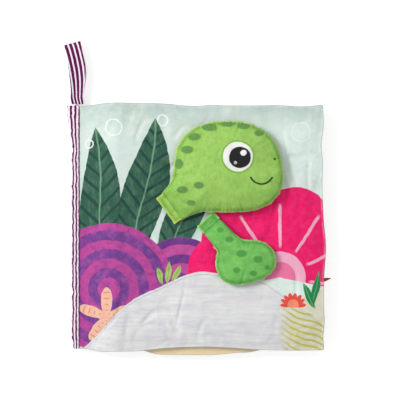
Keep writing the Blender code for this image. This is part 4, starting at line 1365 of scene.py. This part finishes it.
class BOOK_OT_ribbon(bpy.types.Operator):
    """Make the striped ribbon loop and its end in the spine"""
    bl_idname = "activity_book.ribbon"
    bl_label = "Ribbon Loop"

    def execute(self, context):
        inks = context.scene.book_colours
        piece = new_grid("ribbon_loop", 14, 150)
        hinge_x, hinge_y, middle_z = HINGE_X - 0.0017, TOP_Y + 0.0015, 0.0058
        co = points_of(piece)
        # The ribbon runs out along the upper half of the loop and back along the lower one,
        # in the shape of a drop
        turn = (co[:, 1] + 1) * math.pi
        drop = np.sin(turn) * np.sin(turn / 2) * (1 - 0.35 * np.cos(turn))
        along = (1 - np.cos(turn)) / 2
        bulge = LOOP_BULGE * drop / drop.max()
        width = LOOP_FOOT_WIDTH + (LOOP_WIDTH - LOOP_FOOT_WIDTH) * ease(1.7 * along)
        distance = LOOP_REACH * along
        behind = ease((turn - math.pi) / 0.9) * np.sin(math.pi * np.clip(along, 0, 1)) ** 1.2
        curl = co[:, 0] ** 2 * 0.0007 * np.sin(math.pi * along)
        x = hinge_x - 0.0010 * ease(8 * along) + co[:, 0] * width / 2 - 0.0034 * along
        # It bows to the right on its way and comes back, with the lower half a hair behind
        x = x + 0.0030 * np.sin(math.pi * along) ** 1.3 + 0.0003 * np.sin(turn * 3)
        x = x - behind * 0.0002
        y = hinge_y + distance + co[:, 0] * along * 0.0018
        z = middle_z + bulge + 0.00075 * np.cos(turn / 2)
        ripple = uneven(co[:, 0] * 0.006, turn * 0.012, 4.0, 0.007, 0.008, 2)
        z = z + np.sign(math.pi - turn) * curl + ripple * 0.00022 * np.sin(math.pi * along)
        move_points(piece, np.column_stack((x, y, z)))
        apply_modifier(piece, "SOLIDIFY", thickness=RIBBON_THICKNESS, offset=0.0,
                       use_even_offset=True)
        face_out(piece)
        smooth(piece, 60)
        stripes = [(0.05 + 0.28 * step, 0.092) for step in range(-2, 6)]
        material = striped_tape("ribbon_cloth", inks, stripes, 0.0138, 0.110, 0.05, -0.7)
        dress(piece, "strap", "striped_tape", [material], "strap_loop")
        tail = flat_slab("ribbon_tail", (HINGE_X - 0.0040, TOP_Y - 0.012, 0.00405),
                         (HINGE_X - FIT_GAP, TOP_Y + 0.0011, 0.00755), 12, 30, 0.0002, 8)
        dress(tail, "back_cover", "striped_tape",
              [striped_tape("ribbon_tail_cloth", inks, stripes, 0.004, 0.012)], "strap_tail")
        return {"FINISHED"}


class BOOK_OT_page_tab(bpy.types.Operator):
    """Make the small pointed tab at the page's free edge"""
    bl_idname = "activity_book.page_tab"
    bl_label = "Page Tab"

    def execute(self, context):
        inks = context.scene.book_colours
        low, high = (np.array(corner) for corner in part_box("page_tab"))
        middle = (low + high) / 2

        def place(u, v, side):
            half = 0.0017 * np.cos(u * math.pi / 2 * 0.92)
            x = low[0] + (high[0] - low[0]) * u
            y = low[1] + 0.0017 + 0.0017 * u + (v * 2 - 1) * half
            z = middle[2] + side * 0.00042 - 0.0003 * np.sin(u * 2.6)
            return np.column_stack((x, y, z))

        piece = build_slab("page_tab_leaf", 24, 12, place, 0.0003, 0.0072, 0.0034)
        dress(piece, "page_1", "tab_felt",
              [plain_cloth("tab_orange_felt", context.scene.book_cloth, inks.orange, 0.12)],
              "page_tab")
        return {"FINISHED"}


class BOOK_OT_leaves(bpy.types.Operator):
    """Make the four padded leaves and dress them in their prints"""
    bl_idname = "activity_book.leaves"
    bl_label = "Padded Leaves"

    def execute(self, context):
        cloth = context.scene.book_cloth
        inks = context.scene.book_colours
        lining = page_print("lining_cloth_front", cloth, inks.cream, "bubbles", inks)
        sides = {
            "front_cover": (cover_print("cover_sea_print", cloth, inks), lining),
            "page_1": (page_print("page_1_front_cloth", cloth, inks.cream, "shells", inks),
                       page_print("page_1_back_cloth", cloth, inks.sea_blue, "waves", inks)),
            "page_2": (page_print("page_2_front_cloth", cloth, inks.sea_blue, "waves", inks),
                       page_print("page_2_back_cloth", cloth, inks.sand, "shells", inks)),
            "back_cover": (page_print("lining_cloth_back", cloth, inks.sand, "bubbles", inks),
                           page_print("back_print_cloth", cloth, inks.mint, "kelp", inks)),
        }
        layers = {
            "front_cover": ("outer_panel", "crackle_film", "wadding", "lining_panel"),
            "page_1": ("front_panel", "wadding", "back_panel"),
            "page_2": ("front_panel", "crackle_film", "wadding", "back_panel"),
            "back_cover": ("outer_panel", "wadding", "lining_panel"),
        }
        slots = {"front_cover": "cover_print_cloth", "page_1": "page_1_cloth",
                 "page_2": "page_2_cloth", "back_cover": "cover_print_cloth"}
        for leaf, materials in sides.items():
            steps = 150 if leaf == "front_cover" else 90
            piece = build_leaf(leaf, cloth, cloth.edge_wave, steps)
            dress(piece, leaf, slots[leaf], materials,
                  *(f"{leaf}_{layer}" for layer in layers[leaf]))
            dress_back(piece)
        return {"FINISHED"}


class BOOK_OT_head(bpy.types.Operator):
    """Make the stuffed head and the squeaker's plastic"""
    bl_idname = "activity_book.head"
    bl_label = "Turtle Head"

    def execute(self, context):
        cloth = context.scene.book_cloth
        inks = context.scene.book_colours
        piece = build_pad("head_padded", HEAD, 60, cloth.stuffing_pressure, 0.004, 0.0023)
        dress(piece, "head", "head_cloth", [head_print("head_spotted_cloth", cloth, inks)],
              "head_front_panel", "head_back_panel", "head_stuffing")
        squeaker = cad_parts["head_squeaker"]
        squeaker.data.materials.clear()
        squeaker.data.materials.append(moulded_plastic("squeaker_pale_plastic"))
        return {"FINISHED"}


class BOOK_OT_flipper(bpy.types.Operator):
    """Make the padded flipper"""
    bl_idname = "activity_book.flipper"
    bl_label = "Flipper"

    def execute(self, context):
        cloth = context.scene.book_cloth
        inks = context.scene.book_colours
        piece = build_pad("flipper_padded", FLIPPER, 40, cloth.stuffing_pressure, 0.0025,
                          0.0013)
        dress(piece, "flipper", "flipper_cloth",
              [flipper_print("flipper_spotted_cloth", cloth, inks)],
              "flipper_front_panel", "flipper_back_panel", "flipper_stuffing")
        return {"FINISHED"}


def build_sewn_edge(name, pad, length, overlap, cloth, colour, pale, dark_ink_and_painted_shade, node, slot):
    """The flat end of a neck on the cover, which runs over the fold onto the neck."""
    out = pad.out
    across = Vector((-out.y, out.x))

    def place(u, v, side):
        along = length - (length + overlap) * u
        frayed = uneven(v * 0.02, u * 0, 61.0, 0.003, 1.0, 2) * 0.0005 * (u < 0.02)
        wide = (v * 2 - 1) * (pad.neck_width / 2 + 0.0001)
        x = pad.end.x + out.x * (along + frayed) + across.x * wide
        y = pad.end.y + out.y * (along + frayed) + across.y * wide
        # The end lies on the cover, thinner towards its raw edge, and past the fold it
        # runs on as a thin layer over the neck
        over = ease((0.0006 - along) / 0.0008)
        thick = SEWN_EDGE_THICKNESS * (0.55 + 0.45 * ease((length - along) / 0.002)) * (1 - over)
        thick = thick + 0.0004 * over
        level = SEWN_Z + SEAM_THICKNESS / 2 + 0.00012
        top = np.where(along < 0, np.maximum(pad.top(x, y) + 0.0003, level), level)
        top = top - (1 - over) * 0.0004 * ease((along - length + 0.002) / 0.002)
        gather = uneven(v * 0.03, along, 65.0, 0.0036, 0.02, 2) * 0.00022 * (1 - over)
        return np.column_stack((x, y, top + gather - (1 - side) / 2 * thick))

    piece = build_slab(name, 26, 60, place, 0.0003, length + overlap, pad.neck_width)
    co = points_of(piece)
    from_end = length - (co[:, 0] - pad.end.x) * out.x - (co[:, 1] - pad.end.y) * out.y
    from_side = pad.neck_width / 2 - np.abs((co[:, 0] - pad.end.x) * across.x
                                            + (co[:, 1] - pad.end.y) * across.y)
    store(piece, "from_seam", np.minimum(from_end, from_side))
    dress(piece, None, slot, [seam_cloth(f"{name}_cloth", cloth, colour, pale, dark_ink_and_painted_shade)], node)
    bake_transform(piece)
    thread = plain_cloth(f"{name}_thread", cloth, tuple(min(1.0, part * 1.25) for part in colour))
    places = []
    count = int(pad.neck_width / 0.0022)
    for step in range(count):
        wide = ((step + 0.5) / count - 0.5) * (pad.neck_width - 0.002)
        spot = pad.end + out * (length * 0.55) + across * wide
        places.append(((spot.x, spot.y, SEWN_Z + SEAM_THICKNESS / 2 + 0.00018),
                       (across.x, across.y, 0)))
    row = thread_row(f"{name}_stitches", places, 0.0016, 0.0002, thread)
    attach(row, "front_cover")
    return piece


class BOOK_OT_sewn_edges(bpy.types.Operator):
    """Make the flat ends of the neck and the flipper with their stitches"""
    bl_idname = "activity_book.sewn_edges"
    bl_label = "Sewn Edges"

    def execute(self, context):
        cloth = context.scene.book_cloth
        inks = context.scene.book_colours
        # The third colour of each is a darker ink for strokes and for painted shade beside the
        # seam.
        build_sewn_edge("neck_sewn_edge", HEAD, 0.0050, 0.0022, cloth, inks.head_green,
                        tuple(inks.tab_green), screen_colour(96, 150, 54),
                        "neck_seam_tab", "neck_cloth")
        build_sewn_edge("flipper_sewn_edge", FLIPPER, 0.0060, 0.0020, cloth, inks.flipper_green,
                        screen_colour(160, 218, 120), screen_colour(58, 138, 56),
                        "flipper_seam_tab", "flipper_cloth")
        return {"FINISHED"}


class BOOK_OT_stage(bpy.types.Operator):
    """Set the pale floor, the soft light and the camera"""
    bl_idname = "activity_book.stage"
    bl_label = "Floor, Light and Camera"

    def execute(self, context):
        deselect_all()
        bpy.ops.mesh.primitive_plane_add(size=6, location=(0, 0, 0))
        floor = context.object
        floor.name = "floor"
        material = bpy.data.materials.new("floor_white")
        material.use_nodes = True
        nodes, links = material.node_tree.nodes, material.node_tree.links
        shader = nodes["Principled BSDF"]
        shader.inputs["Base Color"].default_value = (*(FLOOR_GREY,) * 3, 1)
        shader.inputs["Roughness"].default_value = 0.9
        path = nodes.new("ShaderNodeLightPath")
        seen = path.outputs["Is Camera Ray"]
        for other in ("Is Glossy Ray", "Is Transmission Ray"):
            either = nodes.new("ShaderNodeMath")
            either.operation = "MAXIMUM"
            links.new(seen, either.inputs[0])
            links.new(path.outputs[other], either.inputs[1])
            seen = either.outputs[0]
        glow = nodes.new("ShaderNodeEmission")
        strength = nodes.new("ShaderNodeMath")
        strength.operation = "MULTIPLY"
        strength.inputs[1].default_value = FLOOR_GLOW
        links.new(seen, strength.inputs[0])
        links.new(strength.outputs[0], glow.inputs["Strength"])
        both = nodes.new("ShaderNodeAddShader")
        links.new(shader.outputs[0], both.inputs[0])
        links.new(glow.outputs[0], both.inputs[1])
        links.new(both.outputs[0], nodes["Material Output"].inputs["Surface"])
        floor.data.materials.append(material)

        world = context.scene.world or bpy.data.worlds.new("studio")
        context.scene.world = world
        world.use_nodes = True
        background = world.node_tree.nodes["Background"]
        background.inputs["Color"].default_value = (1, 1, 1, 1)
        background.inputs["Strength"].default_value = SKY_STRENGTH

        for name, place, size, power in (("key", (-1.05, 0.55, 1.0), 0.62, 14.5),
                                         ("fill", (0.9, -0.5, 1.3), 1.2, 2.2)):
            bpy.ops.object.light_add(type="AREA", location=place)
            lamp = context.object
            lamp.name = name
            lamp.data.shape = "DISK"
            lamp.data.size = size
            lamp.data.energy = power
            aim = Vector((0, 0.01, 0.02)) - Vector(place)
            lamp.rotation_euler = aim.to_track_quat("-Z", "Y").to_euler()

        bpy.ops.object.camera_add(location=(-0.0011, 0.0234, COVER_TOP_Z + CAMERA_DISTANCE),
                                  rotation=(0, 0, 0))
        camera = context.object
        camera.data.sensor_width = SENSOR_WIDTH
        camera.data.lens = SENSOR_WIDTH * CAMERA_DISTANCE / PICTURE_WIDTH
        camera.data.clip_end = 20
        context.scene.camera = camera
        context.scene.view_settings.view_transform = "Standard"
        return {"FINISHED"}


class BOOK_PT_panel(bpy.types.Panel):
    """Makes the activity book piece by piece"""
    bl_label = "Activity Book"
    bl_idname = "BOOK_PT_panel"
    bl_space_type = "VIEW_3D"
    bl_region_type = "UI"
    bl_category = "Activity Book"

    def draw(self, context):
        column = self.layout.column()
        for maker in MAKERS:
            column.operator(maker.bl_idname)
        for settings in (context.scene.book_cloth, context.scene.book_colours):
            for key in settings.__annotations__:
                column.prop(settings, key)


MAKERS = (BOOK_OT_leaves, BOOK_OT_spine, BOOK_OT_ribbon, BOOK_OT_page_tab, BOOK_OT_head,
          BOOK_OT_flipper, BOOK_OT_sewn_edges, BOOK_OT_stage)
CLASSES = (ClothSettings, ColourSettings, *MAKERS, BOOK_PT_panel)


def register():
    for item in CLASSES:
        bpy.utils.register_class(item)
    bpy.types.Scene.book_cloth = bpy.props.PointerProperty(type=ClothSettings)
    bpy.types.Scene.book_colours = bpy.props.PointerProperty(type=ColourSettings)


def unregister():
    del bpy.types.Scene.book_colours
    del bpy.types.Scene.book_cloth
    for item in reversed(CLASSES):
        bpy.utils.unregister_class(item)


def main():
    register()
    bpy.ops.activity_book.leaves()
    bpy.ops.activity_book.spine()
    bpy.ops.activity_book.ribbon()
    bpy.ops.activity_book.page_tab()
    bpy.ops.activity_book.head()
    bpy.ops.activity_book.flipper()
    bpy.ops.activity_book.sewn_edges()
    bpy.ops.activity_book.stage()


if __name__ == "__main__":
    main()
